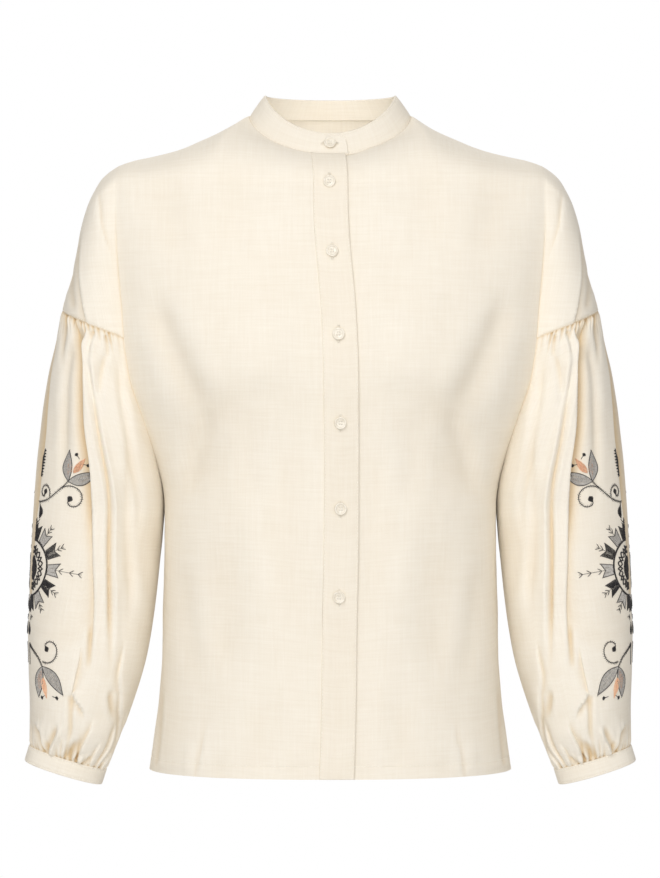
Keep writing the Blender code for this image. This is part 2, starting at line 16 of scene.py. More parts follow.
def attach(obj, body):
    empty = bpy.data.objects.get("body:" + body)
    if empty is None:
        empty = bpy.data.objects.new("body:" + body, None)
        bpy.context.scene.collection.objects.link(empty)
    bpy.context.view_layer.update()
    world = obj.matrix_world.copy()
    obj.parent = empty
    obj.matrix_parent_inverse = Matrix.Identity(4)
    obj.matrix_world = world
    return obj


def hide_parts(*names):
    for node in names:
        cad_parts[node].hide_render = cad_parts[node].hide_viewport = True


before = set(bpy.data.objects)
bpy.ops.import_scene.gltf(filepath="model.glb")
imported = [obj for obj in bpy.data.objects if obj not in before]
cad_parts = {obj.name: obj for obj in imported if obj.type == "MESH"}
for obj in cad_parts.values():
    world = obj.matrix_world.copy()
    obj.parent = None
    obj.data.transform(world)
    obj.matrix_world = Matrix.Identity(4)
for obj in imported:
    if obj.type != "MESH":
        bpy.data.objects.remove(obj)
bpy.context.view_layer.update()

# ------------------------------------------------------------------ driving sizes
MM = 0.001
CLOTH = 0.7
SECTION_POWER = 2.3
HEM_Z = -619.0
CAP_Z = -71.0
SEAM_V_Z = -213.0
SEAM_O_Z = -185.0
UNDERARM_Z = -368.0
NECK_SIDE = (76.7, 2.0, 0.0)
NECK_FRONT = (0.0, -61.0, -41.5)
NECK_BACK = (0.0, 62.0, 4.0)
CREASE_TOP_X = 199.0
NECK_SHARE = 5 / 11
COLLAR_LAP_OVER = 17.0
COLLAR_LAP_UNDER = 13.0
COLLAR_ROUND = 11.0
COLLAR_H = 22.6
BAND_W = 32.0
CUFF_H = 15.0
CUFF_FROM, CUFF_TO = 204.0, 594.0
LAP = 2.4
HEM_TURN = 12.0

LEVELS = {
    "z":        [-47.8, -71, -109, -147, -185, -213, -251, -289, -327, -350, -368],
    "outer_x":  [205.0, 221.6, 234.9, 244.2, 254.5, 260.6, 268.7, 274.2, 278.6, 280.5, 281.5],
    "outer_y":  [4, 5, 6, 6, 5, 5, 4, 3, 2, 1, 0],
    "crease_x": [199, 200, 200, 197.8, 194.3, 192.2, 186.9, 174.5, 163.5, 159.0, 157.0],
    "crease_y": [0, 52, 58, 60, 60, 59, 54, 43, 27, 14, 0.8],
    "heading":  [5, -4, -16, -24, -30, -34, -45, -62, -80, -88, -90],
    "reach":    [8, 20, 26, 30, 33, 35, 40, 50, 62, 70, 75],
    "outer_reach": [4, 30, 46, 54, 58, 60, 66, 70, 73, 75, 75],
}
BODY = {
    "z":     [-30, -71, -109, -147, -185, -213, -240, -289, -327, -368, -422, -500, -560, -619],
    "front": [60, 86, 99, 109, 117, 121, 122, 118, 114, 111, 108, 106, 108, 112],
    "back":  [66, 86, 96, 102, 105, 106, 106, 104, 102, 101, 101, 104, 108, 112],
    "side":  [156, 156, 156, 156, 156, 156, 156, 156, 156, 157.0, 157, 159, 163, 171.5],
}
SHOULDER = {
    "x": [76.7, 96.3, 113.4, 130.5, 147.6, 167.2, 186.8, 199.0, 206.3, 213.7, 218.5, 221.6],
    "z": [0, -12.8, -20.9, -28.2, -34.1, -39, -43.3, -47.8, -52.4, -59.3, -65.4, -71],
}
SLEEVE = {
    "outer_x": [281.5, 284.2, 285.7, 286.1, 285.5, 284.3, 283.3],
    "outer_z": [-368, -411, -452.7, -492.6, -530.6, -562.9, -597.1],
    "inner_x": [157.0, 161.3, 166.3, 173.7, 185.5, 198.4, 212.4],
    "inner_z": [-368, -418.5, -465, -510.6, -552.4, -586.6, -618.9],
    "depth":   [56, 58, 60, 60, 56, 48, 29],
    "middle_y": [0, 1, 1, -1, -5, -9, -13],
}
BAND_EDGE = {
    "z": [-36, -65, -95, -120, -186, -247, -338, -398, -477, -555, -619],
    "x": [13.2, 16.0, 16.4, 17.6, 23.2, 25.7, 26.3, 26.0, 24.5, 23.6, 21.9],
}
SWELLS = {
    "x":      [88, 128, 60, 172],
    "z":      [-222, -318, -330, -560],
    "wide":   [58, 30, 40, 26],
    "high":   [62, 48, 60, 60],
    "height": [9, -6, -4, -3],
}

# ------------------------------------------------------------------ folds, placed one by one
# One row for a fold. kind: "soft" is a trough, "ridge" stands up, "lap" stands on its
# inner side and drops off outwards, "back_lap" the other way round. wide and deep in mm,
# fade in and out as shares of its length, then its line down the front view.
SLEEVE_FRONT_FOLDS = [
    ("lap", 6.5, 8.0, 0.09, 0.45, [(88, 325), (84, 341), (84.6, 366), (84.6, 393), (85.4, 426), (90, 462), (91.2, 479), (93, 515), (93.7, 560)]),
    ("lap", 5.0, 3.0, 0.30, 0.30, [(90.4, 466), (91.2, 479), (93, 515), (93.7, 560), (95, 610), (93, 640), (88.4, 668)]),
    ("soft", 2.6, 3.0, 0.10, 0.25, [(88, 350), (90, 375), (93, 400), (99.5, 441), (108, 487), (109, 560), (109.8, 617), (110.8, 680)]),
    ("ridge", 4.0, 1.8, 0.20, 0.30, [(98, 400), (105, 441), (113.5, 487), (115, 560), (116, 617), (116, 670)]),
    ("soft", 3.5, 2.0, 0.25, 0.40, [(107.8, 345), (101, 370), (98.7, 393), (99.5, 425)]),
    ("ridge", 3.5, 1.6, 0.20, 0.50, [(96, 333), (93, 350), (92.5, 380), (96, 410)]),
    ("soft", 2.4, 1.8, 0.05, 0.60, [(73, 316), (75, 328), (75, 350)]),
    ("soft", 2.2, 1.8, 0.05, 0.60, [(80, 320), (79, 335), (78, 352)]),
    ("soft", 2.4, 2.0, 0.05, 0.60, [(93, 331), (90, 343), (89, 362)]),
    ("soft", 2.4, 1.6, 0.05, 0.60, [(106, 335), (107, 346), (110, 362)]),
    ("soft", 2.2, 1.8, 0.05, 0.65, [(66, 313), (64, 335), (62, 372)]),
    ("soft", 4.0, 1.6, 0.10, 0.50, [(71, 340), (66, 390), (64, 450), (66, 520)]),
    ("ridge", 5.0, 1.6, 0.30, 0.50, [(78, 350), (76, 400), (77, 450), (80, 500)]),
    ("soft", 4.0, 1.8, 0.20, 0.40, [(118, 350), (122, 400), (130, 450), (138, 500), (136, 560)]),
    ("soft", 5.0, 1.8, 0.30, 0.40, [(128, 440), (127, 520), (130, 600), (126, 650)]),
    ("soft", 3.0, 2.0, 0.30, 0.30, [(91, 622), (90.4, 640), (88.4, 672)]),
    ("back_lap", 4.0, 2.6, 0.35, 0.10, [(82, 640), (78, 662), (73, 685), (71, 698)]),
    ("lap", 4.5, 3.6, 0.05, 0.50, [(71.5, 693), (77, 702), (83, 711), (87, 722)]),
    ("soft", 2.6, 1.8, 0.10, 0.40, [(71, 697), (70.5, 716), (69.5, 735), (66, 745)]),
    ("lap", 3.4, 3.0, 0.30, 0.20, [(124, 640), (123, 656), (119.5, 674), (120.5, 700), (119.5, 722)]),
    ("soft", 3.0, 2.0, 0.20, 0.50, [(110, 690), (111.5, 705), (115, 722)]),
]
CUFF_FRONT_FOLDS = [
    ("lap", 3.4, 4.2, 0.30, 0.03, [(33, 722), (38, 728), (42, 736), (44.5, 746), (45, 749)]),
    ("ridge", 2.6, 2.6, 0.50, 0.02, [(61, 723), (58, 735), (53.5, 746), (51.5, 752)]),
    ("soft", 3.0, 2.6, 0.50, 0.02, [(58, 722), (53, 737), (48, 748), (47, 751)]),
    ("soft", 3.6, 2.6, 0.55, 0.02, [(79.5, 738), (73, 748), (68, 757)]),
    ("lap", 3.0, 3.6, 0.40, 0.02, [(94, 718), (90, 731), (85, 741), (79, 756), (78, 760)]),
    ("soft", 1.8, 1.8, 0.50, 0.02, [(83, 751), (78, 757), (75, 760)]),
    ("soft", 1.8, 1.8, 0.50, 0.02, [(92, 755), (88, 759), (85, 763)]),
    ("lap", 2.6, 2.8, 0.50, 0.02, [(101, 740), (97, 748), (92.5, 757), (89, 764)]),
    ("lap", 2.8, 3.2, 0.40, 0.02, [(118, 716), (113.6, 733), (107.7, 748), (98.5, 761), (95.5, 766)]),
    ("lap", 2.8, 3.6, 0.35, 0.02, [(119.3, 694), (120.6, 724), (114, 747.5), (103, 763), (100, 768)]),
    ("lap", 2.4, 3.0, 0.35, 0.02, [(127.5, 706), (124.8, 722), (118.6, 744), (108.5, 761), (104.2, 769)]),
]
SLEEVE_BACK_FOLDS = [
    ("lap", 6.5, 6.5, 0.02, 0.45, [(98, 333), (95, 360), (96, 410), (101, 470), (104, 540), (103, 600)]),
    ("soft", 6.0, 4.0, 0.10, 0.45, [(76, 322), (72, 370), (71, 440), (75, 520), (80, 600)]),
    ("lap", 5.0, 3.4, 0.15, 0.40, [(112, 342), (112, 400), (119, 460), (128, 520), (127, 590)]),
    ("soft", 5.0, 3.0, 0.20, 0.40, [(62, 330), (56, 400), (52, 480), (50, 560)]),
    ("back_lap", 4.5, 3.0, 0.35, 0.20, [(66, 590), (72, 640), (70, 690), (62, 730)]),
    ("lap", 4.0, 3.2, 0.35, 0.02, [(92, 620), (97, 670), (94, 715), (84, 760)]),
    ("soft", 3.4, 3.0, 0.40, 0.02, [(70, 700), (62, 730), (54, 752)]),
    ("lap", 3.4, 3.2, 0.35, 0.02, [(118, 650), (119, 700), (108, 745), (96, 766)]),
    ("soft", 3.0, 2.6, 0.35, 0.02, [(126, 690), (121, 728), (104, 769)]),
    ("soft", 2.6, 2.4, 0.50, 0.02, [(50, 715), (45, 735), (40, 750)]),
    ("soft", 2.6, 2.4, 0.50, 0.02, [(84, 730), (77, 747), (70, 758)]),
]
BODY_FRONT_FOLDS = [
    ("back_lap", 3.0, 2.5, 0.25, 0.45, [(97.5, 188), (98.2, 205), (100.6, 227), (106.5, 245), (115, 266)]),
    ("lap", 4.0, 2.6, 0.35, 0.02, [(84, 225), (81, 250), (80, 275), (83, 303), (88.4, 327)]),
    ("soft", 3.0, 1.2, 0.30, 0.20, [(72, 262), (71, 285), (74, 312)]),
    ("soft", 13.0, 4.0, 0.30, 0.25, [(150, 290), (165, 330), (190, 390), (204, 418)]),
    ("soft", 9.0, 2.4, 0.20, 0.35, [(206, 404), (202, 428), (195, 450), (186, 482), (169, 507)]),
    ("soft", 30.0, 3.0, 0.35, 0.35, [(222, 375), (208, 440), (202, 510)]),
    ("soft", 13.0, 1.4, 0.30, 0.30, [(252, 400), (249, 450), (250, 510)]),
    ("ridge", 26.0, 2.0, 0.30, 0.30, [(272, 300), (268, 350), (262, 400)]),
    ("soft", 16.0, 1.4, 0.30, 0.30, [(288, 420), (286, 520), (290, 640)]),
    ("soft", 18.0, 2.0, 0.30, 0.30, [(222, 520), (226, 600), (222, 690)]),
    ("lap", 3.0, 1.5, 0.50, 0.05, [(208, 715), (204.5, 738), (199.5, 762), (197.5, 778)]),
    ("ridge", 5.0, 1.0, 0.40, 0.05, [(190, 735), (188, 755), (187, 776)]),
    ("soft", 2.2, 0.9, 0.30, 0.10, [(163, 680), (160, 725), (156, 768)]),
    ("soft", 10.0, 1.6, 0.30, 0.30, [(180, 560), (186, 620), (196, 690)]),
    ("soft", 14.0, 1.2, 0.30, 0.20, [(262, 690), (258, 730), (256, 775)]),
    ("soft", 18.0, 1.6, 0.30, 0.30, [(150, 170), (168, 215), (190, 262)]),
    ("soft", 20.0, 1.2, 0.30, 0.30, [(240, 150), (232, 200), (238, 260)]),
]
BODY_BACK_FOLDS = [
    ("soft", 15.0, 2.2, 0.30, 0.30, [(240, 150), (232, 220), (236, 310)]),
    ("soft", 12.0, 4.0, 0.25, 0.30, [(140, 300), (166, 350), (192, 420), (204, 490)]),
    ("soft", 16.0, 1.8, 0.30, 0.30, [(288, 200), (282, 330), (286, 470)]),
    ("soft", 12.0, 2.4, 0.30, 0.20, [(204, 500), (196, 600), (190, 740)]),
    ("soft", 13.0, 2.2, 0.30, 0.15, [(256, 540), (250, 650), (246, 770)]),
    ("soft", 15.0, 2.0, 0.30, 0.20, [(308, 520), (306, 640), (310, 770)]),
    ("soft", 14.0, 2.4, 0.30, 0.30, [(150, 170), (172, 230), (208, 300)]),
    ("soft", 6.0, 2.6, 0.30, 0.30, [(100, 190), (101, 230), (112, 275)]),
    ("lap", 4.5, 2.6, 0.35, 0.02, [(88, 235), (86, 270), (90, 325)]),
]
# the outer fold of each sleeve: its lip down the front view and how deep the cloth goes in
LIP = {
    "v":    [300, 313, 330, 350, 370, 393, 429, 449, 491, 514, 532, 555, 572, 589, 604],
    "u":    [64.5, 62, 59.2, 56.2, 53.3, 50.0, 47.0, 44.9, 40.0, 38.6, 36.8, 35.0, 33.5, 31.6, 30.6],
    "deep": [0, 1.5, 9, 15, 18, 19, 19, 19, 19, 19, 18, 15, 12, 6, 0],
}
AXIS_FORWARD = {"v": [560, 600, 640, 760], "s": [33.0, 25.0, 14.0, 9.0]}


# ------------------------------------------------------------------ small helpers
def table_at(xs, ys, x):
    """Monotone cubic through a table's points, for arrays."""
    xs, ys = np.asarray(xs, float), np.asarray(ys, float)
    if xs[0] > xs[-1]:
        xs, ys = xs[::-1], ys[::-1]
    h = np.diff(xs)
    s = np.diff(ys) / h
    m = np.zeros_like(ys)
    m[0], m[-1] = s[0], s[-1]
    for i in range(1, len(ys) - 1):
        if s[i - 1] * s[i] > 0:
            w1, w2 = 2 * h[i] + h[i - 1], h[i] + 2 * h[i - 1]
            m[i] = (w1 + w2) / (w1 / s[i - 1] + w2 / s[i])
    x = np.clip(x, xs[0], xs[-1])
    i = np.clip(np.searchsorted(xs, x) - 1, 0, len(h) - 1)
    t = (x - xs[i]) / h[i]
    return (ys[i] * (1 + 2 * t) * (1 - t) ** 2 + m[i] * h[i] * t * (1 - t) ** 2
            + ys[i + 1] * t * t * (3 - 2 * t) + m[i + 1] * h[i] * t * t * (t - 1))


def level(column, z):
    return table_at(LEVELS["z"], LEVELS[column], z)


def body(column, z):
    return table_at(BODY["z"], BODY[column], z)


def sleeve(column, v):
    return table_at(np.linspace(0, 1, len(SLEEVE["depth"])), SLEEVE[column], v)


def band_edge(z):
    return table_at(BAND_EDGE["z"], BAND_EDGE["x"], z)


def smooth(x, a=0.0, b=1.0):
    t = np.clip((np.asarray(x, float) - a) / (b - a), 0, 1)
    return t * t * (3 - 2 * t)


def bezier(a, b, c, d, t):
    return a * (1 - t) ** 3 + b * 3 * t * (1 - t) ** 2 + c * 3 * t * t * (1 - t) + d * t ** 3


def unit(v):
    return v / np.maximum(np.linalg.norm(v, axis=-1, keepdims=True), 1e-12)


def eased(n, k):
    """n steps of 0 to 1, closer together at both ends."""
    t = np.linspace(0, 1, n + 1)
    return t - k * np.sin(2 * math.pi * t) / (2 * math.pi)


def seen(P):
    """Where points lie in the front view."""
    f = 3000.0 / (3000.0 + P[..., 1])
    return 330.3 - np.abs(P[..., 0]) * f / 0.95, 439.0 - (P[..., 2] + 307.3) * f / 0.95


def arc_length(P, axis):
    """Running length along an axis of a grid of points."""
    d = np.linalg.norm(np.diff(P, axis=axis), axis=-1)
    zero = np.zeros_like(np.take(d, [0], axis=axis))
    return np.cumsum(np.concatenate([zero, d], axis=axis), axis=axis)


def wobble(P, seed, size, count=7):
    """Slow uneven swelling of cloth, about -1 to 1."""
    rng = np.random.default_rng(seed)
    out = np.zeros(P.shape[:-1])
    for _ in range(count):
        way = unit(rng.normal(size=3) * [1.0, 1.0, 0.55])
        out += np.sin(P @ way * (2 * math.pi / (size * rng.uniform(0.7, 1.5))) + rng.uniform(0, 6.28))
    return out / math.sqrt(count)


# ------------------------------------------------------------------ the worn form
def crease(z, way):
    z = np.asarray(z, float)
    x = np.where(z <= UNDERARM_Z, body("side", z), level("crease_x", z))
    y = np.where(z <= UNDERARM_Z, 0.0, way * level("crease_y", z))
    return np.stack([x, y, z], -1)


def outer(z):
    z = np.asarray(z, float)
    x = np.where(z > CAP_Z, np.interp(-z, [-q for q in SHOULDER["z"]], SHOULDER["x"]), level("outer_x", z))
    return np.stack([x, level("outer_y", z), z], -1)


def section_width(z, way):
    v = crease(z, way)
    depth = body("front" if way < 0 else "back", z)
    share = np.minimum(np.abs(v[..., 1]) / depth, 0.98)
    return v, depth, v[..., 0] / (1 - share ** SECTION_POWER) ** (1 / SECTION_POWER)


def swell(x, z):
    out = np.zeros(np.broadcast(x, z).shape)
    for k in range(len(SWELLS["x"])):
        dx = (np.abs(x) - SWELLS["x"][k]) / SWELLS["wide"][k]
        dz = (z - SWELLS["z"][k]) / SWELLS["high"][k]
        out += SWELLS["height"][k] * np.exp(-dx * dx - dz * dz)
    return out


def body_point(x, z, way):
    x, z = np.broadcast_arrays(np.asarray(x, float), np.asarray(z, float))
    v, depth, width = section_width(z, way)
    q = np.minimum(np.abs(x) / width, 1.0)
    y = depth * (1 - q ** SECTION_POWER) ** (1 / SECTION_POWER)
    if way < 0:
        y = y + swell(x, z) * np.maximum(0, 1 - (np.abs(x) / v[..., 0]) ** 8)
    return np.stack([x, way * y, z], -1)


def body_x(f, x0, z, way):
    v, _, width = section_width(z, way)
    a, b = np.arcsin(x0 / width), np.arcsin(np.minimum(v[..., 0] / width, 1.0))
    return width * np.sin(a + (b - a) * f)


def neck_point(x, way):
    x = np.asarray(x, float)
    end = NECK_FRONT if way < 0 else NECK_BACK
    s = np.minimum(np.abs(x) / NECK_SIDE[0], 1.0)
    c = np.sqrt(np.maximum(0.0, 1 - s * s))
    return np.stack([x, NECK_SIDE[1] + (end[1] - NECK_SIDE[1]) * c, end[2] * c ** (1.15 if way < 0 else 1.0)], -1)


def top_point(f, x0, way):
    a0 = math.asin(x0 / NECK_SIDE[0])
    a = a0 + (math.pi / 2 - a0) * np.minimum(f / NECK_SHARE, 1.0)
    neck = neck_point(NECK_SIDE[0] * np.sin(a), way)
    x = NECK_SIDE[0] + (CREASE_TOP_X - NECK_SIDE[0]) * (f - NECK_SHARE) / (1 - NECK_SHARE)
    y = NECK_SIDE[1] + (level("outer_y", -60.0) - NECK_SIDE[1]) * (x - NECK_SIDE[0]) / 120
    line = np.stack([x, y, table_at(SHOULDER["x"], SHOULDER["z"], x)], -1)
    return np.where((f <= NECK_SHARE)[..., None], neck, line)


def over_the_top(top, low, b0, r):
    """From the top edge down over the shoulder: r is 0 at the edge and 1 at CAP_Z."""
    b = b0 + (math.pi / 2 - b0) * r
    flat = (np.sin(b) - np.sin(b0)) / (1 - np.sin(b0))
    drop = (np.cos(b0) - np.cos(b)) / np.cos(b0)
    p = top + (low - top) * flat[..., None]
    p[..., 2] = top[..., 2] + (low[..., 2] - top[..., 2]) * drop
    return p


def cap_points(f, x_top, x_low, r, way):
    f, r = f[None, :], r[:, None]
    top = top_point(f, x_top, way)
    low = body_point(body_x(f, x_low, CAP_Z, way), CAP_Z, way)
    slopes = [38.0 if way < 0 else 30.0, 27.0, 14.0, 3.0]
    b0 = np.radians(np.interp(f, [0, NECK_SHARE, 0.75, 1.0], slopes))
    return over_the_top(top, low, b0, r)


def arm_points(v, o, t, way):
    """The curve round the arm from crease v to outside o; v, o are (rows, 3), t is (cols,)."""
    heading = np.radians(level("heading", v[:, 2]))
    r1, r2 = level("reach", v[:, 2]), level("outer_reach", o[:, 2])
    b, c = v.copy(), o.copy()
    b[:, 0] += r1 * np.cos(heading)
    b[:, 1] -= way * r1 * np.sin(heading)
    c[:, 1] += way * r2
    b[:, 2] = v[:, 2] + (o[:, 2] - v[:, 2]) * 0.38
    c[:, 2] = v[:, 2] + (o[:, 2] - v[:, 2]) * 0.86
    t = t[None, :, None]
    return bezier(v[:, None], b[:, None], c[:, None], o[:, None], t)


def ring_points(s, t, way):
    """Plain rings of the hanging sleeve: s (rows,) from underarm to cuff, t (cols,)."""
    o = np.stack([sleeve("outer_x", s), sleeve("middle_y", s), sleeve("outer_z", s)], -1)[:, None]
    n = np.stack([sleeve("inner_x", s), sleeve("middle_y", s), sleeve("inner_z", s)], -1)[:, None]
    reach = np.zeros_like(o)
    reach[..., 1] = way * (sleeve("depth", s) / 0.75)[:, None]
    return bezier(n, n + reach, o + reach, o, t[None, :, None])


def under_start(z):
    e = band_edge(z)
    return np.where(e < BAND_W, -np.abs(e - BAND_W) + 1.0, 0.0)


def over_start(z):
    return BAND_W - band_edge(z)


def middle(z):
    return np.zeros_like(np.asarray(z, float))


# ------------------------------------------------------------------ folds
def fold_line(points, step=3.0):
    """A smooth line through given points, evenly spaced."""
    p = np.array(points, float)
    d = np.concatenate([[0], np.cumsum(np.linalg.norm(np.diff(p, axis=0), axis=1))])
    n = max(4, int(d[-1] / step))
    s = np.linspace(0, d[-1], n)
    m = np.gradient(p, d, axis=0)
    i = np.clip(np.searchsorted(d, s) - 1, 0, len(d) - 2)
    h = (d[i + 1] - d[i])
    t = ((s - d[i]) / h)[:, None]
    h = h[:, None]
    return (p[i] * (1 + 2 * t) * (1 - t) ** 2 + m[i] * h * t * (1 - t) ** 2
            + p[i + 1] * t * t * (3 - 2 * t) + m[i + 1] * h * t * t * (t - 1))


def beside(q, line):
    """Signed distance of view points q (n, 2) from a line, outwards positive, and the
    share along it; beyond an end the share runs under 0 or over 1."""
    best = np.full(len(q), 1e9)
    dist = np.zeros(len(q))
    share = np.zeros(len(q))
    a, b = line[:-1], line[1:]
    n = len(a)
    for k in range(n):
        e = b[k] - a[k]
        ll = e @ e
        w = q - a[k]
        t = (w @ e) / ll
        tc = np.clip(t, 0, 1)
        off = w - tc[:, None] * e
        d2 = (off * off).sum(1)
        near = d2 < best
        best[near] = d2[near]
        side = (e[0] * w[:, 1] - e[1] * w[:, 0]) / math.sqrt(ll)
        tt = t if n == 1 else np.where((k == 0) & (t < 0), t, np.where((k == n - 1) & (t > 1), t, tc))
        dist[near] = np.where(side[near] < 0, -1, 1) * np.sqrt(d2[near])
        share[near] = ((k + tt) / n)[near]
    return dist, share


def fold_shift(P, folds, gain=1.0):
    """How far folds move a surface along its normal, and sideways over their own edge."""
    u, v = seen(P)
    q = np.stack([u.ravel(), v.ravel()], 1)
    out = np.zeros(len(q))
    side = np.zeros(len(q))
    for kind, wide, deep, fade_in, fade_out, points in folds:
        line = fold_line(points)
        lo, hi = line.min(0) - 4 * wide - 6, line.max(0) + 4 * wide + 6
        pick = np.where(((q > lo) & (q < hi)).all(1))[0]
        if not len(pick):
            continue
        d, s = beside(q[pick], line)
        strength = smooth(s, 0, max(fade_in, 1e-3)) * smooth(1 - s, 0, max(fade_out, 1e-3))
        if fade_in < 0.06:
            strength = smooth(1 - s, 0, max(fade_out, 1e-3)) * smooth(s, -0.03, fade_in)
        if fade_out < 0.06:
            strength = smooth(s, 0, max(fade_in, 1e-3)) * smooth(1 - s, -0.2, fade_out)
        if fade_in < 0.06 and fade_out < 0.06:
            strength = smooth(s, -0.03, fade_in) * smooth(1 - s, -0.2, fade_out)
        if kind == "soft":
            h = -deep * np.exp(-(d / wide) ** 2) + 0.28 * deep * np.exp(-((np.abs(d) - 1.9 * wide) / wide) ** 2)
        elif kind == "ridge":
            h = deep * np.exp(-(d / wide) ** 2)
        else:
            if kind == "back_lap":
                d = -d
            edge = 0.5 + 0.5 * np.tanh(d / 0.9)
            stand = 0.5 * deep * np.exp(-np.abs(np.minimum(d, 0)) / (wide * 2.2))
            sink = -0.5 * deep * np.exp(-(np.maximum(d, 0) / (wide * 1.3)) ** 2)
            h = stand * (1 - edge) + sink * edge
            over = min(0.42 * deep, 1.5 / gain) * np.exp(-(np.minimum(d, 0) / 2.6) ** 2) * (1 - edge)
            side[pick] += over * strength * gain * (-1 if kind == "back_lap" else 1)
        out[pick] += h * strength * gain
    return out.reshape(P.shape[:-1]), side.reshape(P.shape[:-1])


# ------------------------------------------------------------------ meshes
def grid_faces(R, C, ok=None, index=None):
    r, c = np.meshgrid(np.arange(R - 1), np.arange(C - 1), indexing="ij")
    if index is None:
        index = np.arange(R * C).reshape(R, C)
    quads = np.stack([index[r, c], index[r, c + 1], index[r + 1, c + 1], index[r + 1, c]], -1).reshape(-1, 4)
    if ok is not None:
        good = (ok[:-1, :-1] & ok[:-1, 1:] & ok[1:, 1:] & ok[1:, :-1]).ravel()
        quads = quads[good]
    return quads


def point_normals(V, quads):
    n = np.zeros_like(V)
    fn = np.cross(V[quads[:, 2]] - V[quads[:, 0]], V[quads[:, 3]] - V[quads[:, 1]])
    for k in range(4):
        np.add.at(n, quads[:, k], fn)
    return unit(n)


def rim_edges(quads):
    e = np.concatenate([quads[:, [0, 1]], quads[:, [1, 2]], quads[:, [2, 3]], quads[:, [3, 0]]])
    e = e[e[:, 0] != e[:, 1]]
    key = np.sort(e, axis=1)
    _, inverse, count = np.unique(key, axis=0, return_inverse=True, return_counts=True)
    return e[count[inverse.ravel()] == 1]


def new_object(name, V, faces, mat, uv=None, tone=None, fold=None, angle=50, smooth_shade=True):
    mesh = bpy.data.meshes.new(name)
    faces = np.asarray(faces)
    k = faces.shape[1]
    mesh.vertices.add(len(V))
    mesh.vertices.foreach_set("co", (np.asarray(V) * MM).astype(np.float32).ravel())
    mesh.loops.add(faces.size)
    mesh.loops.foreach_set("vertex_index", faces.astype(np.int32).ravel())
    mesh.polygons.add(len(faces))
    mesh.polygons.foreach_set("loop_start", np.arange(0, faces.size, k, dtype=np.int32))
    mesh.update(calc_edges=True)
    mesh.validate()
    if uv is not None and len(mesh.loops) == faces.size:
        layer = mesh.uv_layers.new(name="cloth", do_init=False)
        layer.uv.foreach_set("vector", np.asarray(uv, np.float32)[faces.ravel()].ravel())
    if tone is not None:
        a = mesh.attributes.new("tone", "FLOAT", "POINT")
        a.data.foreach_set("value", np.asarray(tone, np.float32))
    # the fold value carries painted crease shade and ridge highlight for the linen colour, and on the button band its
    # own slightly warmer colour
    if fold is not None:
        a = mesh.attributes.new("fold", "FLOAT", "POINT")
        a.data.foreach_set("value", np.asarray(fold, np.float32))
    mesh.materials.append(mat)
    if smooth_shade:
        mesh.shade_smooth()
        if angle:
            mesh.set_sharp_from_angle(angle=math.radians(angle))
    ob = bpy.data.objects.new(name, mesh)
    bpy.context.scene.collection.objects.link(ob)
    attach(ob, "root")
    return ob


def shell(name, P, UV, mat, thick, ok, outward, fold):
    """A thin wall on a grid of outer points. thick is one number or a grid."""
    R, C = P.shape[:2]
    V, uv = P.reshape(-1, 3), UV.reshape(-1, 2)
    th = np.broadcast_to(thick, (R, C)).ravel()
    quads = grid_faces(R, C, ok)
    used = np.unique(quads)
    move = np.full(len(V), -1)
    move[used] = np.arange(len(used))
    V, uv, th, quads = V[used], uv[used], th[used], move[quads]
    n = point_normals(V, quads)
    out = outward.reshape(-1, 3)[used]
    if (n * out).sum() < 0:
        quads = quads[:, ::-1]
        n = -n
    m = len(V)
    rim = rim_edges(quads)
    fold = fold.ravel()[used]
    faces = np.concatenate([quads, quads[:, ::-1] + m,
                            np.stack([rim[:, 1], rim[:, 0], rim[:, 0] + m, rim[:, 1] + m], 1)])
    # the inside face gets the painted crease shade at 0.3 strength
    return new_object(name, np.concatenate([V, V - n * th[:, None]]), faces, mat, np.concatenate([uv, uv]),
                      fold=np.concatenate([fold, fold * 0.3]))


def grid_normals(P, outward, ok=None, index=None):
    quads = grid_faces(*P.shape[:2], ok, index)
    n = point_normals(np.nan_to_num(P.reshape(-1, 3)), quads).reshape(P.shape)
    if np.nansum(n * outward) < 0:
        n = -n
    return n


def mirror(P, side):
    return P * np.array([side, 1.0, 1.0])


# ------------------------------------------------------------------ body panels
N_TORSO, N_ARM = 76, 46
TOP_ROWS, LOW_ROWS = 72, 116


def half_grid(way, start, cols=N_TORSO, arm_cols=N_ARM):
    """Half of a body panel on the +x side: (rows, cols + arm_cols) outer points before any
    fold, and which of them are cloth."""
    f = np.linspace(0, 1, cols + 1)
    s = eased(TOP_ROWS, 0.72)
    zs = SEAM_V_Z + (HEM_Z - SEAM_V_Z) * eased(LOW_ROWS, 0.6)[1:]
    share = 3 / 7
    cap = s[s <= share]
    drop = CAP_Z + (SEAM_V_Z - CAP_Z) * (s[s > share] - share) / (1 - share)
    top = cap_points(f, float(start(NECK_FRONT[2])), float(start(CAP_Z)), cap / share, way)
    z = np.concatenate([drop, zs])[:, None]
    low = body_point(body_x(f[None, :], start(z), z, way), z, way)
    torso = np.concatenate([top, low])
    R = len(torso)
    n = len(s)
    v = torso[:n, -1]
    oz = -58.0 + (SEAM_O_Z + 58.0) * s ** 1.15
    o = outer(oz)
    t = np.linspace(0, 1, arm_cols + 1)
    arm = arm_points(v, o, t, way)
    w = smooth(s, 0, 0.12)[:, None]
    line = table_at(SHOULDER["x"], SHOULDER["z"], np.clip(arm[..., 0], 76.7, 221.6))
    arm[..., 2] = line * (1 - w) + arm[..., 2] * w
    # front and back meet along the shoulder seam out to its end
    straight = v[:, 1:2] + (o[:, 1] - v[:, 1])[:, None] * t[None, :]
    arm[..., 1] = straight * (1 - w) + arm[..., 1] * w
    arm[:, 0] = v
    P = np.full((R, cols + 1 + arm_cols, 3), np.nan)
    P[:, :cols + 1] = torso
    P[:n, cols + 1:] = arm[:, 1:]
    ok = ~np.isnan(P[..., 0])
    return P, ok, n


def body_outward(P):
    q = np.nan_to_num(P) * [1.0, 1.0, 0.0]
    q[..., 2] = 30.0
    return unit(q)


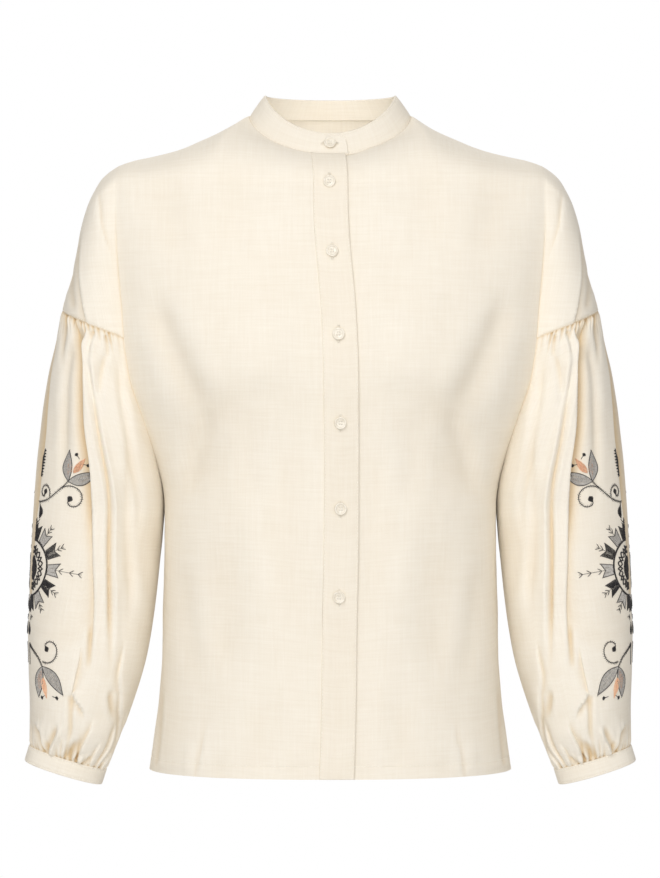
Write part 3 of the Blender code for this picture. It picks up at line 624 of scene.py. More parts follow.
def seam_dip(dist, near=1.4, deep=0.45, swell_at=3.2, swell_by=0.22):
    """Cloth beside a sewn seam: a narrow dip, then the folded allowance under it."""
    return -deep * np.exp(-(dist / near) ** 2) + swell_by * np.exp(-((dist - swell_at) / 1.5) ** 2)


def dress_body(P, ok, n, way, cols=N_TORSO):
    """Folds, seams and hem on a body panel's half grid."""
    out = body_outward(P)
    N = grid_normals(P, out, ok)
    Q = np.nan_to_num(P)
    move, side = fold_shift(Q, BODY_FRONT_FOLDS if way < 0 else BODY_BACK_FOLDS)
    # painted shade: the colour is made darker and warmer in narrow fold troughs, and paler on ridges as a painted
    # highlight
    narrow = [row for row in (BODY_FRONT_FOLDS if way < 0 else BODY_BACK_FOLDS) if row[1] < 8]
    painted_crease_shade = np.clip(-fold_shift(Q, narrow)[0] / 2.6, -0.5, 1) * 0.62 + np.clip(-move / 3.0, -0.3, 1) * 0.10
    move += 0.55 * wobble(Q, 11 if way < 0 else 12, 95) + 0.25 * wobble(Q, 13 if way < 0 else 14, 38)
    rows = arc_length(Q, 0)
    from_top = rows
    hem = np.maximum(rows[-1:, :] - rows, 0)
    hem[:, cols + 1:] = 1e3
    calm = smooth(from_top, 0, 14) * smooth(hem, -1, 9)
    edge = np.ones(P.shape[1])
    move = move * calm
    # the sleeve seam along the bottom of the dropped shoulder
    to_seam = np.maximum(rows[n - 1:n, cols:] - rows[:n, cols:], 0)
    keep = smooth(to_seam, 0, 7)
    inner = smooth(np.arange(to_seam.shape[1]), 0, 5)[None, :]
    move[:n, cols:] = move[:n, cols:] * (1 - (1 - keep) * inner) + seam_dip(to_seam) * inner
    move += seam_dip(from_top, 1.2, 0.35, 3.0, 0.2)
    # the turned-up hem and its line of stitches
    puckers = np.sin(rows_along(Q) / 5.3 + 1.7 * np.sin(rows_along(Q) / 17.0))
    move += np.where(hem < 60, -0.4 * np.exp(-((hem - HEM_TURN) / 1.3) ** 2)
                     + 0.22 * np.exp(-((hem - HEM_TURN) / 5.0) ** 2) * puckers, 0)
    Q = Q + N * move[..., None]
    Q[..., 0] += side * calm * np.where(ok, 1, 0)
    thick = CLOTH + 0.7 * smooth(HEM_TURN + 1.0 - hem, 0, 1.4)
    # painted shade along the sewn top edge
    painted_crease_shade += 0.30 * np.exp(-(from_top / 1.6) ** 2)
    # painted shade in the crease between body and arm, and beside the sleeve seam
    painted_crease_shade[:n, cols] += 0.34 * smooth(from_top[:n, cols], 50, 150)
    painted_crease_shade[:n, cols + 2:] += 0.55 * np.exp(-(to_seam[:, 2:] / 1.5) ** 2)
    return Q, thick, painted_crease_shade


def rows_along(Q):
    return arc_length(Q, 1)


def cloth_uv(P, plain, n):
    """Lengths across and along the straight grain in metres, which the weave follows. The
    grain is level at the armhole, and the slope of the shoulder cuts across it."""
    k = int(round(n * 0.62))
    Q = np.nan_to_num(plain)
    across = Q[:, :1, 0] + arc_length(Q, 1)
    x = Q[:k, :N_TORSO + 1, 0]
    across[:k, :N_TORSO + 1] = np.interp(x, Q[k, :N_TORSO + 1, 0], across[k, :N_TORSO + 1])
    arm = arc_length(Q[:k, N_TORSO:], 1)
    across[:k, N_TORSO:] = across[:k, N_TORSO:N_TORSO + 1] + arm
    along = arc_length(Q, 0)
    along = along - along[k:k + 1]
    return np.stack([across, along], -1) * MM


def level_line(Q, D, value):
    """The line on a grid where the distances D down its columns reach a value."""
    out = np.full((Q.shape[1], 3), np.nan)
    for j in range(Q.shape[1]):
        d = D[:, j]
        good = np.isfinite(d)
        if good.sum() < 2 or not (np.nanmin(d) <= value <= np.nanmax(d)):
            continue
        order = np.argsort(d[good])
        for c in range(3):
            out[j, c] = np.interp(value, d[good][order], Q[good, j, c][order])
    return out


def build_front(side, start, name, mat, under=False):
    P, ok, n = half_grid(-1, start)
    Q, thick, painted_crease_shade = dress_body(P, ok, n, -1)
    uv = cloth_uv(Q, P, n)
    if under:
        N = grid_normals(Q, body_outward(Q), ok)
        s = smooth((band_edge(Q[..., 2]) + 26 - Q[..., 0]) / 22)
        Q = Q - N * (LAP * s)[..., None]
    else:
        # the front stops under the band's sewn edge
        near = Q[..., 0] - over_start(Q[..., 2])
        N = grid_normals(Q, body_outward(Q), ok)
        Q = Q + N * (-0.5 * np.exp(-(near / 1.6) ** 2))[..., None]
    Q = mirror(Q, side)
    return shell(name, Q, uv, mat, thick, ok, body_outward(Q), painted_crease_shade), body_lines(Q, ok, n)


def body_lines(Q, ok, n):
    """Where the hem and the shoulder seam are stitched, and which way the cloth faces."""
    R = np.where(ok[..., None], Q, np.nan)
    N = grid_normals(Q, body_outward(Q), ok)
    down = arc_length(Q, 0)
    hem = down[-1:] - down
    hem[:, N_TORSO + 1:] = np.nan
    seam = down[n - 1:n] - down
    seam[n:] = np.nan
    seam[:, :N_TORSO + 3] = np.nan
    return {"hem": level_line(R, hem, HEM_TURN), "hem_out": level_line(N, hem, HEM_TURN),
            "seam": level_line(R, seam, 1.7), "seam_out": level_line(N, seam, 1.7)}


def build_back(mat):
    P, ok, n = half_grid(1, middle)
    Q, thick, painted_crease_shade = dress_body(P, ok, n, 1)
    left, right = Q, mirror(Q, -1)
    full = np.concatenate([right[:, ::-1], left[:, 1:]], 1)
    okf = np.concatenate([ok[:, ::-1], ok[:, 1:]], 1)
    thf = np.concatenate([thick[:, ::-1], thick[:, 1:]], 1)
    # the painted crease shade of both halves, side by side
    painted_crease_shade_full = np.concatenate([painted_crease_shade[:, ::-1], painted_crease_shade[:, 1:]], 1)
    uv = cloth_uv(Q, P, n)
    uvr = uv * [-1, 1]
    uvf = np.concatenate([uvr[:, ::-1], uv[:, 1:]], 1)
    return (shell("linen_back", full, uvf, mat, thf, okf, body_outward(full), painted_crease_shade_full),
            body_lines(left, ok, n), body_lines(right, ok, n))


# ------------------------------------------------------------------ sleeves
NF, NZ, NB = 156, 40, 92
SLEEVE_ROWS = 124
VALLEY_SHARE = 0.40


def even(P, a0, a1, count):
    """Points of each row at count + 1 even places of its length from a0 to a1 (rows,)."""
    L = arc_length(P, 1)
    out = np.zeros((P.shape[0], count + 1, 3))
    for i in range(P.shape[0]):
        s = np.linspace(a0[i], a1[i], count + 1)
        for k in range(3):
            out[i, :, k] = np.interp(s, L[i], P[i, :, k])
    return out


def sleeve_rows():
    tau = eased(SLEEVE_ROWS, 0.66)
    valley = tau[tau < VALLEY_SHARE] / VALLEY_SHARE
    ring = (tau[tau >= VALLEY_SHARE] - VALLEY_SHARE) / (1 - VALLEY_SHARE)
    return tau, valley, ring


def plain_sleeve(way, t):
    tau, valley, ring = sleeve_rows()
    v = crease(SEAM_V_Z + (UNDERARM_Z - SEAM_V_Z) * valley, way)
    o = outer(SEAM_O_Z + (UNDERARM_Z - SEAM_O_Z) * valley)
    return np.concatenate([arm_points(v, o, t, way), ring_points(ring, t, way)])


def pleats(at, seed, lo, hi, gap, wide, deep, along, length):
    """Small uneven gathers: at is the place along the seam for each point, along the
    distance from the seam."""
    rng = np.random.default_rng(seed)
    out = np.zeros(at.shape)
    x = lo
    while x < hi:
        w = wide * rng.uniform(0.7, 1.35)
        d = deep * rng.uniform(0.45, 1.25)
        reach = length * rng.uniform(0.35, 1.6)
        slant = rng.uniform(-0.10, 0.10)
        k = np.exp(-((at - x - slant * along) / (w * (1 + along / (reach * 3)))) ** 2)
        out -= d * k * smooth(1 - along / reach)
        x += gap * rng.uniform(0.65, 1.5)
    return out


def build_sleeve(mat, side, name):
    t = np.linspace(0, 1, 361)
    front, back = plain_sleeve(-1, t), plain_sleeve(1, t)
    tau, valley, ring = sleeve_rows()
    R = len(front)
    nv = len(valley)
    Lf = arc_length(front, 1)
    total = Lf[:, -1]
    # where the lip of the outer fold lies in each row
    u, v = seen(front)
    lip_arc = np.zeros(R)
    lip_v = np.zeros(R)
    for i in range(R):
        want = np.interp(v[i], LIP["v"], LIP["u"])
        past = np.where((u[i] <= want) & (t > 0.5))[0]
        k = past[0] if len(past) else len(t) - 1
        lip_arc[i], lip_v[i] = total[i] - Lf[i, k], v[i, k]
    deep = np.interp(lip_v, LIP["v"], LIP["deep"], left=0, right=0)
    by_axis = np.interp(lip_v, AXIS_FORWARD["v"], AXIS_FORWARD["s"])
    w = 1 - smooth(lip_v, 575, 610)
    s0 = np.clip(lip_arc, 10, 46) * w + by_axis * (1 - w)
    s0 = np.convolve(np.pad(s0, 4, mode="edge"), np.ones(9) / 9, mode="valid")
    F = even(front, np.zeros(R), total - s0, NF)
    Z = even(front, total - s0, total, NZ)
    B = even(back[:, ::-1], np.zeros(R), arc_length(back, 1)[:, -1], NB)

    centre = np.stack([(front[:, 0, 0] + front[:, -1, 0]) / 2, (front[:, 0, 1] + back[:, 0, 1]) / 2, front[:, 180, 2]], -1)
    plain = np.concatenate([F, Z[:, 1:], B[:, 1:]], 1)
    out = unit((plain - centre[:, None]) * [1, 1, 0.0])
    N = grid_normals(plain, out)
    C = plain.shape[1]
    col = np.arange(C)
    is_front = col <= NF
    rows = arc_length(plain, 0)
    from_seam, to_cuff = rows, rows[-1:] - rows

    move_f, side_f = fold_shift(plain[:, :NF + 1], SLEEVE_FRONT_FOLDS + CUFF_FRONT_FOLDS, 1.3)
    move_b, side_b = fold_shift(plain[:, NF + NZ:], SLEEVE_BACK_FOLDS, 1.3)
    # the sharper folds, whose troughs get painted shade below
    sharp = [row for row in SLEEVE_FRONT_FOLDS + CUFF_FRONT_FOLDS if row[1] < 3.8 or "lap" in row[0]]
    sharp_move = np.zeros((R, C))
    sharp_move[:, :NF + 1] = fold_shift(plain[:, :NF + 1], sharp, 1.3)[0]
    move = np.zeros((R, C))
    shift = np.zeros((R, C))
    move[:, :NF + 1], shift[:, :NF + 1] = move_f, side_f
    move[:, NF + NZ:], shift[:, NF + NZ:] = move_b, side_b
    zone = slice(NF, NF + NZ + 1)
    fade = np.linspace(1, 0, NZ + 1)[None, :]
    move[:, zone] = move[:, NF:NF + 1] * fade + move[:, NF + NZ:NF + NZ + 1] * (1 - fade)

    # calm beside the armhole crease, the inside seam and the outside line
    inner = np.minimum(np.concatenate([arc_length(F, 1), np.full((R, C - NF - 1), 1e3)], 1), 1e3)
    inner_b = np.concatenate([np.full((R, NF + NZ), 1e3), arc_length(B, 1)[:, -1:] - arc_length(B, 1)], 1)
    seam_inner = np.minimum(inner, inner_b)
    calm = smooth(seam_inner, 0, 12)
    outside = np.abs(arc_length(plain, 1) - arc_length(plain, 1)[:, NF + NZ:NF + NZ + 1])
    calm_out = 0.25 + 0.75 * smooth(outside, 2, 14)
    shift *= smooth(seam_inner, 2, 16) * smooth(outside, 6, 16) * smooth(to_cuff, 0, 6)
    move += (0.7 * wobble(plain, 21, 70) + 0.3 * wobble(plain, 22, 30)) * smooth(from_seam, 0, 25) * smooth(to_cuff, 0, 25)
    move *= calm * calm_out

    # gathers at the shoulder seam and at the cuff
    at0 = np.broadcast_to(arc_length(plain, 1)[0], (R, C))
    atc = np.broadcast_to(arc_length(plain, 1)[-1], (R, C))
    top_len, cuff_len = at0[0, -1], atc[0, -1]
    small = pleats(at0, 31, 6, top_len - 6, 4.6, 1.15, 1.9, from_seam, 24)
    small += pleats(at0, 32, 0.52 * at0[0, NF], 0.96 * at0[0, NF], 3.4, 0.85, 1.4, from_seam, 15)
    small += pleats(atc, 33, 2, cuff_len - 2, 5.2, 1.1, 2.0, to_cuff, 30)
    # painted shade: darker, warmer colour in fold troughs and gathers, along the seams and at the cuff edge; ridges
    # paler as a painted highlight
    painted_crease_shade = (np.clip(-sharp_move / 3.6, -0.5, 1) * 0.62 + np.clip(-move / 3.6, -0.5, 1) * 0.23
            + np.clip(-small / 1.7, 0, 1) * 0.75)
    painted_crease_shade = painted_crease_shade * (0.3 + 0.7 * calm) + 0.42 * np.exp(-(inner / 1.8) ** 2) + 0.5 * np.exp(-(from_seam / 1.8) ** 2) + 0.35 * np.exp(-(to_cuff / 1.8) ** 2)
    small += 0.55 * np.exp(-((from_seam - 6) / 5) ** 2)
    small += 1.3 * smooth(to_cuff, 0, 5) * smooth(1 - to_cuff / 40)
    move += small * smooth(seam_inner, 0, 8) * (0.4 + 0.6 * smooth(outside, 0, 8))
    move += seam_dip(from_seam, 1.0, 0.5, 3, 0.0)
    move *= smooth(from_seam, -0.6, 1.2) * 0.85 + 0.15

    Q = plain + N * move[..., None]
    tangent = unit(np.gradient(plain, axis=1))
    tangent = np.where((col <= NF + NZ // 2)[None, :, None], tangent, -tangent)
    Q = Q + tangent * shift[..., None]

    # the outer fold: in from the lip to its bottom, back out to the outside line
    for i in range(R):
        d = deep[i]
        if d < 0.2:
            continue
        L, O = Q[i, NF], Q[i, NF + NZ]
        path = np.array([
            L, L + [0.5, 1.1, 0], L + [-0.6, 2.3, 0], L + [-0.35 * d, 3.2 + 0.10 * d, 0],
            L + [-0.8 * d, 3.6 + 0.26 * d, 0], L + [-d, 4.2 + 0.38 * d, 0],
            L + [-0.92 * d, 5.6 + 0.42 * d, 0], L + [-0.55 * d, 5.6 + 0.42 * d, 0],
            O * 0.5 + (L + [-0.1 * d, 5.4 + 0.36 * d, 0]) * 0.5, O + [-0.6, -1.6, 0], O])
        path[:, 2] = np.linspace(L[2], O[2], len(path))
        fine = fold_line3(path, NZ)
        k = smooth(d, 0, 7)
        Q[i, NF:NF + NZ + 1] = Q[i, NF:NF + NZ + 1] * (1 - k) + fine * k
        # painted shade in the recess of the outer fold, darkest at its bottom
        painted_crease_shade[i, NF:NF + NZ + 1] = np.interp(np.arange(NZ + 1) / NZ, [0, 0.1, 0.5, 0.8, 1], [0.1, 1.1, 1.25, 0.9, 0.35]) * k
    index = np.arange(R * C).reshape(R, C)
    index[nv:, -1] = index[nv:, 0]
    Q[nv:, -1] = Q[nv:, 0]

    # the slit at the wrist, just behind the outside line
    slit_col = NF + NZ + 3
    ok = np.ones((R, C), bool)
    first = np.where(to_cuff[:, slit_col] < 22)[0][0]
    open_by = 1.5 * smooth((np.arange(R) - first) / max(R - 1 - first, 1), 0, 0.8)
    across = unit(Q[:, slit_col + 1] - Q[:, slit_col - 1])
    for k, g in ((0, 1.0), (1, 0.8), (2, 0.5), (3, 0.25)):
        Q[:, slit_col - k] -= across * (open_by * g)[:, None]
        Q[:, slit_col + 1 + k] += across * (open_by * g)[:, None]
    Nn = grid_normals(Q, out, None, index)
    for k, g in ((0, 1.0), (1, 0.8), (2, 0.3)):
        Q[:, slit_col - k] += Nn[:, slit_col - k] * (0.6 * open_by * g)[:, None]
        Q[:, slit_col + 1 + k] += Nn[:, slit_col + 1 + k] * (0.4 * open_by * g)[:, None]
    ok_quads = grid_faces(R, C, None, index)
    cut = np.zeros((R - 1, C - 1), bool)
    cut[first:, slit_col] = True
    uv = np.stack([np.broadcast_to(arc_length(plain, 1)[nv], (R, C)), arc_length(Q, 0)], -1) * MM
    ob = sleeve_shell(name, Q, uv, mat, index, cut, side, painted_crease_shade)
    info = {"Q": Q, "N": Nn, "nv": nv, "slit": slit_col, "first": first, "deep": deep}
    return ob, info


def fold_line3(points, count):
    p = np.array(points, float)
    d = np.concatenate([[0], np.cumsum(np.linalg.norm(np.diff(p, axis=0), axis=1) ** 0.7)])
    m = np.gradient(p, d, axis=0)
    n = count * 6
    s = np.linspace(0, d[-1], n + 1)
    i = np.clip(np.searchsorted(d, s) - 1, 0, len(d) - 2)
    h = (d[i + 1] - d[i])
    t = ((s - d[i]) / h)[:, None]
    h = h[:, None]
    q = (p[i] * (1 + 2 * t) * (1 - t) ** 2 + m[i] * h * t * (1 - t) ** 2
         + p[i + 1] * t * t * (3 - 2 * t) + m[i + 1] * h * t * t * (t - 1))
    L = np.concatenate([[0], np.cumsum(np.linalg.norm(np.diff(q, axis=0), axis=1))])
    e = np.linspace(0, L[-1], count + 1)
    return np.stack([np.interp(e, L, q[:, k]) for k in range(3)], 1)


def sleeve_shell(name, Q, uv, mat, index, cut, side, fold):
    R, C = Q.shape[:2]
    quads = grid_faces(R, C, None, index)
    quads = quads[~cut.ravel()]
    V = mirror(Q.reshape(-1, 3), side)
    used = np.unique(quads)
    move = np.full(len(V), -1)
    move[used] = np.arange(len(used))
    V2, uv2, quads = V[used], uv.reshape(-1, 2)[used], move[quads]
    n = point_normals(V2, quads)
    centre = V2 - np.array([side * 228.0, 0, 0])
    if (n * centre * [1, 1, 0]).sum() < 0:
        quads, n = quads[:, ::-1], -n
    m = len(V2)
    rim = rim_edges(quads)
    fold = fold.ravel()[used]
    faces = np.concatenate([quads, quads[:, ::-1] + m,
                            np.stack([rim[:, 1], rim[:, 0], rim[:, 0] + m, rim[:, 1] + m], 1)])
    # the inside face gets the painted crease shade at 0.3 strength
    return new_object(name, np.concatenate([V2, V2 - n * CLOTH]), faces, mat, np.concatenate([uv2, uv2]),
                      fold=np.concatenate([fold, fold * 0.3]))


# ------------------------------------------------------------------ collar, cuffs, band
def collar_points(turn, h):
    a = np.radians(turn)
    x, c = -NECK_SIDE[0] * np.sin(a), np.cos(a)
    fore = c > 0
    ey, ez = np.where(fore, NECK_FRONT[1], NECK_BACK[1]), np.where(fore, NECK_FRONT[2], NECK_BACK[2])
    ac = np.abs(c)
    low = np.stack([x, NECK_SIDE[1] + (ey - NECK_SIDE[1]) * ac, ez * ac ** np.where(fore, 1.15, 1.0) + 0.9], -1)
    ty, tz = np.where(fore, -50.0, 52.0), np.where(fore, -21.5, 20.0)
    top = np.stack([-61.6 * np.sin(a), 1.5 + (ty - 1.5) * ac, 19.4 + (tz - 19.4) * ac ** 1.35], -1)
    return low + (top - low) * h[..., None]


def cuff_points(turn, h, off):
    j = (turn % 360) / 180.0
    t = np.where(j <= 1, j, 2 - j)
    fore = ring_points(np.array([1.0]), t.ravel(), -1)[0].reshape(t.shape + (3,))
    aft = ring_points(np.array([1.0]), t.ravel(), 1)[0].reshape(t.shape + (3,))
    p = np.where((j <= 1)[..., None], fore, aft)
    o = np.array([SLEEVE["outer_x"][-1], 0, SLEEVE["outer_z"][-1]], float)
    n = np.array([SLEEVE["inner_x"][-1], 0, SLEEVE["inner_z"][-1]], float)
    across = (o - n) / np.linalg.norm(o - n)
    down = np.array([across[2], 0, -across[0]])
    if down[2] > 0:
        down = -down
    centre = (o + n) / 2 + [0, SLEEVE["middle_y"][-1], 0]
    out = unit(p - centre)
    return p + down * (0.25 + CUFF_H * h[..., None]) + out * off[..., None]


def edge_places(length, thick, stitch=2.0):
    """Distances across a strip, close together at its edges and stitch lines."""
    near = [0, 0.12, 0.3, 0.6, 1.0, stitch - 0.5, stitch, stitch + 0.5, stitch + 1.4]
    mid = list(np.linspace(stitch + 3, length - stitch - 3, max(3, int((length - 2 * stitch - 6) / 2.2))))
    return np.array(near + mid + [length - q for q in near[::-1]])


def pillow(name, P, dist_u, dist_h, thick, mat, uv, out_hint, stitch=2.0, wave=None, ends=True, warmth=0.0):
    """A strip of cloth sewn double: P (u, h, 3) its middle face, dist_* the distance of
    each point from the strip's edges."""
    U, H = P.shape[:2]
    n = point_normals(P.reshape(-1, 3), grid_faces(U, H)).reshape(P.shape)
    if (n * out_hint).sum() < 0:
        n = -n
    r = thick * 0.5
    near = np.minimum(dist_h, dist_u if ends else 1e3)
    x = np.clip(near / (r * 1.1), 0, 1)
    full = np.sqrt(np.maximum(0, 1 - (1 - x) ** 2))
    puff = 0.16 * smooth(near, 0, 1.4) - 0.34 * np.exp(-((near - stitch) / 0.55) ** 2)
    if wave is not None:
        puff = puff + wave
    outside = P + n * (full * (r + puff))[..., None]
    inside = P - n * (full * (r + 0.5 * puff))[..., None]
    quads = grid_faces(U, H)
    m = U * H
    idx = np.arange(m).reshape(U, H)
    inner = idx + m
    border = np.zeros((U, H), bool)
    border[:, [0, -1]] = True
    border[[0, -1], :] = True
    inner = np.where(border, idx, inner)
    inner_quads = grid_faces(U, H, None, inner)
    fn = np.cross(outside.reshape(-1, 3)[quads[:, 2]] - outside.reshape(-1, 3)[quads[:, 0]],
                  outside.reshape(-1, 3)[quads[:, 3]] - outside.reshape(-1, 3)[quads[:, 1]])
    if (fn * n.reshape(-1, 3)[quads[:, 0]]).sum() < 0:
        quads = quads[:, ::-1]
    else:
        inner_quads = inner_quads[:, ::-1]
    V = np.concatenate([outside.reshape(-1, 3), inside.reshape(-1, 3)])
    faces = np.concatenate([quads, inner_quads])
    used = np.unique(faces)
    move = np.full(len(V), -1)
    move[used] = np.arange(len(used))
    uvs = np.concatenate([uv.reshape(-1, 2), uv.reshape(-1, 2)])
    ob = new_object(name, V[used], move[faces], mat, uvs[used], fold=np.full(len(used), warmth), angle=0)
    return ob, outside, n


def build_collar(mat):
    a = -math.degrees(math.asin(COLLAR_LAP_OVER / NECK_SIDE[0]))
    b = 360 + math.degrees(math.asin(COLLAR_LAP_UNDER / NECK_SIDE[0]))
    per = 1.3   # mm for each degree, about
    ends = np.array([0, 0.15, 0.4, 0.8, 1.3, 2.0, 2.6, 3.4, 4.6, 6, 7.6, 9.2, 11]) / per
    turns = np.concatenate([a + ends, np.linspace(a + 12.5 / per, b - 12.5 / per, 210), b - ends[::-1]])
    d_u = np.minimum(turns - a, b - turns) * per
    hs = edge_places(COLLAR_H, 1.7) / COLLAR_H
    T, Hh = np.meshgrid(turns, hs, indexing="ij")
    from_end = (turns - a) * per
    full = np.ones(len(turns))
    near = from_end < COLLAR_ROUND
    full[near] = (COLLAR_H - COLLAR_ROUND + np.sqrt(np.maximum(COLLAR_ROUND ** 2 - (COLLAR_ROUND - from_end[near]) ** 2, 0))) / COLLAR_H
    P = collar_points(T, Hh * full[:, None])
    under = smooth((T - 322) / 22)
    P[..., 1] += 2.1 * under
    out = unit(P * [1, 1, 0] + [0, 0, 0.0])
    n0 = point_normals(P.reshape(-1, 3), grid_faces(*T.shape)).reshape(P.shape)
    if (n0 * out).sum() < 0:
        n0 = -n0
    # the sewn edge sits on the neck edge of the panels
    P = P - n0 * (0.25 + 0.25 * Hh)[..., None]
    P[..., 2] -= 3.4 * (1 - Hh) ** 2
    # the rounded corner's edge is nearer than straight up
    top_gap = (1 - Hh) * COLLAR_H * full[:, None]
    slant = np.clip(from_end / COLLAR_ROUND, 0.35, 1)[:, None]
    d_h = np.minimum(Hh * COLLAR_H * full[:, None], top_gap * slant)
    D_u = np.broadcast_to(d_u[:, None], T.shape)
    uv = np.stack([T * 1.3, Hh * COLLAR_H], -1) * MM
    lines = np.sin(T * 1.9) * 0.05 + 0.06 * np.sin(T * 0.31 + 2 * Hh)
    ob, face, n = pillow("linen_collar", P, D_u, d_h, 1.7, mat, uv, out, wave=lines)
    return ob, face, n, turns, hs, full


def build_cuff(mat, side, name):
    turns = np.concatenate([CUFF_FROM + np.array([0, 0.25, 0.7, 1.4, 2.2, 3.6, 4.8]),
                            np.linspace(CUFF_FROM + 7, CUFF_TO - 7, 130),
                            CUFF_TO - np.array([4.8, 3.6, 2.2, 1.4, 0.7, 0.25, 0])])
    hs = edge_places(CUFF_H, 1.6, 1.8) / CUFF_H
    T, Hh = np.meshgrid(turns, hs, indexing="ij")
    over = smooth((T - (CUFF_TO - 64)) / 30)
    off = 0.15 + 2.0 * over
    P = cuff_points(T, Hh * 1.04 - 0.05, off)
    out = unit((P - [228.0 + 20, -13, 0]) * [1, 1, 0])
    d_h = np.minimum(Hh, 1 - Hh) * CUFF_H
    d_u = np.minimum(T - CUFF_FROM, CUFF_TO - T) * 0.55
    uv = np.stack([T * 0.55, Hh * CUFF_H], -1) * MM
    P = mirror(P, side)
    out = mirror(out, side)
    lines = 0.05 * np.sin(T * 0.8) + 0.07 * np.sin(T * 0.11 + 3 * Hh)
    ob, face, n = pillow(name, P, d_u, d_h, 1.6, mat, uv, out, stitch=1.8, wave=lines)
    return ob, face, n, turns, hs


def band_rows(count_top=22, count_low=230):
    r = np.linspace(0, 1, count_top + 1)
    z = CAP_Z + (HEM_Z - CAP_Z) * np.linspace(0, 1, count_low + 1)[1:]
    z = np.concatenate([z[:-1], [HEM_Z + 0.9, HEM_Z + 0.4, HEM_Z + 0.12, HEM_Z]])
    return r, z[np.concatenate([[True], np.diff(z) < 0])]


def build_band(mat):
    r, z = band_rows()
    across = np.array([0, 0.12, 0.3, 0.6, 1.1, 2.2, 4, 6.5, 9, 12, 15, 18, 21, 24, 26.5, 28.6, 30, 30.8, 31.3, 31.6, 31.82, 31.94, 32.0])
    s = across / BAND_W
    xt = -float(over_start(NECK_FRONT[2])) + BAND_W * s
    xl = -float(over_start(CAP_Z)) + BAND_W * s
    b0 = np.radians(38.0)
    top = over_the_top(neck_point(xt, -1)[None], body_point(xl, CAP_Z, -1)[None], b0 + 0 * xt[None], r[:, None])
    zz = z[:, None]
    low = body_point(-over_start(zz) + BAND_W * s[None, :], zz, -1)
    P = np.concatenate([top, low])
    U, H = P.shape[:2]
    out = np.zeros_like(P)
    out[..., 1] = -1
    n = point_normals(P.reshape(-1, 3), grid_faces(U, H)).reshape(P.shape)
    if (n * out).sum() < 0:
        n = -n
    Q = P + n * (0.55 * wobble(P, 11, 95) + 0.25 * wobble(P, 13, 38) - 0.35)[..., None] * smooth(arc_length(P, 0), 0, 14)[..., None]
    move, _ = fold_shift(P, BODY_FRONT_FOLDS)
    Q = Q + n * (move * smooth(arc_length(P, 0), 0, 14))[..., None]
    L = arc_length(P, 0)
    d_u = np.minimum(L, L[-1:] - L)
    d_h = np.broadcast_to(np.minimum(across, BAND_W - across)[None, :], (U, H)) + 0.0
    d_h[:, 0] = 0
    uv = np.stack([np.broadcast_to(across[None, :], (U, H)), L], -1) * MM
    wave = 0.06 * np.sin(L / 9.0 + np.sin(L / 23.0)) * np.exp(-d_h / 6)
    return pillow("linen_button_band", Q, d_u, d_h, 1.3, mat, uv, out, stitch=1.6, wave=wave, warmth=0.06)


# ------------------------------------------------------------------ threads and stitches
def tubes(name, P, N, r, lift, mat, tone=None, sides=4, ride=True):
    """Many short threads as one mesh: P, N (n, k, 3) their paths and the cloth's outward
    way, r (n,) their radius, lift (n, k) their height over the path."""
    n, k = P.shape[:2]
    T = unit(np.gradient(P, axis=1))
    S = unit(np.cross(T, N))
    U = unit(np.cross(S, T))
    end = np.ones(k)
    end[0] = end[-1] = 0.45
    C = P + N * lift[..., None]
    V = np.zeros((n, k, sides, 3))
    for q in range(sides):
        a = 2 * math.pi * q / sides
        V[:, :, q] = C + (U * math.cos(a) + S * math.sin(a)) * (r[:, None] * end[None, :])[..., None]
    idx = np.arange(n * k * sides).reshape(n, k, sides)
    nxt = np.roll(idx, -1, axis=2)
    quads = np.stack([idx[:, :-1], idx[:, 1:], nxt[:, 1:], nxt[:, :-1]], -1).reshape(-1, 4)
    if sides == 3:
        ends = np.concatenate([idx[:, 0], idx[:, -1, ::-1]])
        quads = np.concatenate([quads[:, [0, 1, 2]], quads[:, [0, 2, 3]], ends])
    elif sides == 4:
        quads = np.concatenate([quads, idx[:, 0], idx[:, -1, ::-1]])
    else:
        h = sides // 2
        for e, flip in ((0, False), (k - 1, True)):
            for q in range(1, h):
                c = np.stack([idx[:, e, q - 1], idx[:, e, q], idx[:, e, (sides - 1 - q)], idx[:, e, (sides - q) % sides]], 1)
                quads = np.concatenate([quads, c[:, ::-1] if flip else c])
    tones = None if tone is None else np.repeat(tone, k * sides)
    return new_object(name, V.reshape(-1, 3), quads, mat, tone=tones, angle=0)


def stitch_paths(line, out, pitch=3.0, length=2.1, samples=4, rise=0.26):
    """Running stitches along a line of points; gives paths, outward ways and heights."""
    good = np.isfinite(line).all(1) & np.isfinite(out).all(1)
    line, out = line[good], unit(out[good])
    L = np.concatenate([[0], np.cumsum(np.linalg.norm(np.diff(line, axis=0), axis=1))])
    count = int(L[-1] / pitch)
    if count < 1:
        return np.zeros((0, samples, 3)), np.zeros((0, samples, 3)), np.zeros((0, samples))
    start = (np.arange(count) + 0.5) * L[-1] / count - length / 2
    s = start[:, None] + np.linspace(0, length, samples)[None, :]
    P = np.stack([np.interp(s, L, line[:, c]) for c in range(3)], -1)
    N = unit(np.stack([np.interp(s, L, out[:, c]) for c in range(3)], -1))
    t = np.linspace(-1, 1, samples)
    lift = np.broadcast_to(-0.10 + (rise + 0.10) * (1 - t ** 4), s.shape)
    return P, N, lift


def sew(name, runs, mat, r=0.25):
    parts = [stitch_paths(line, out, *more) for line, out, *more in runs]
    P, N, H = (np.concatenate([p[k] for p in parts]) for k in range(3))
    rng = np.random.default_rng(5)
    return tubes(name, P, N, np.full(len(P), r), H, mat, tone=rng.uniform(0, 1, len(P)), sides=4)


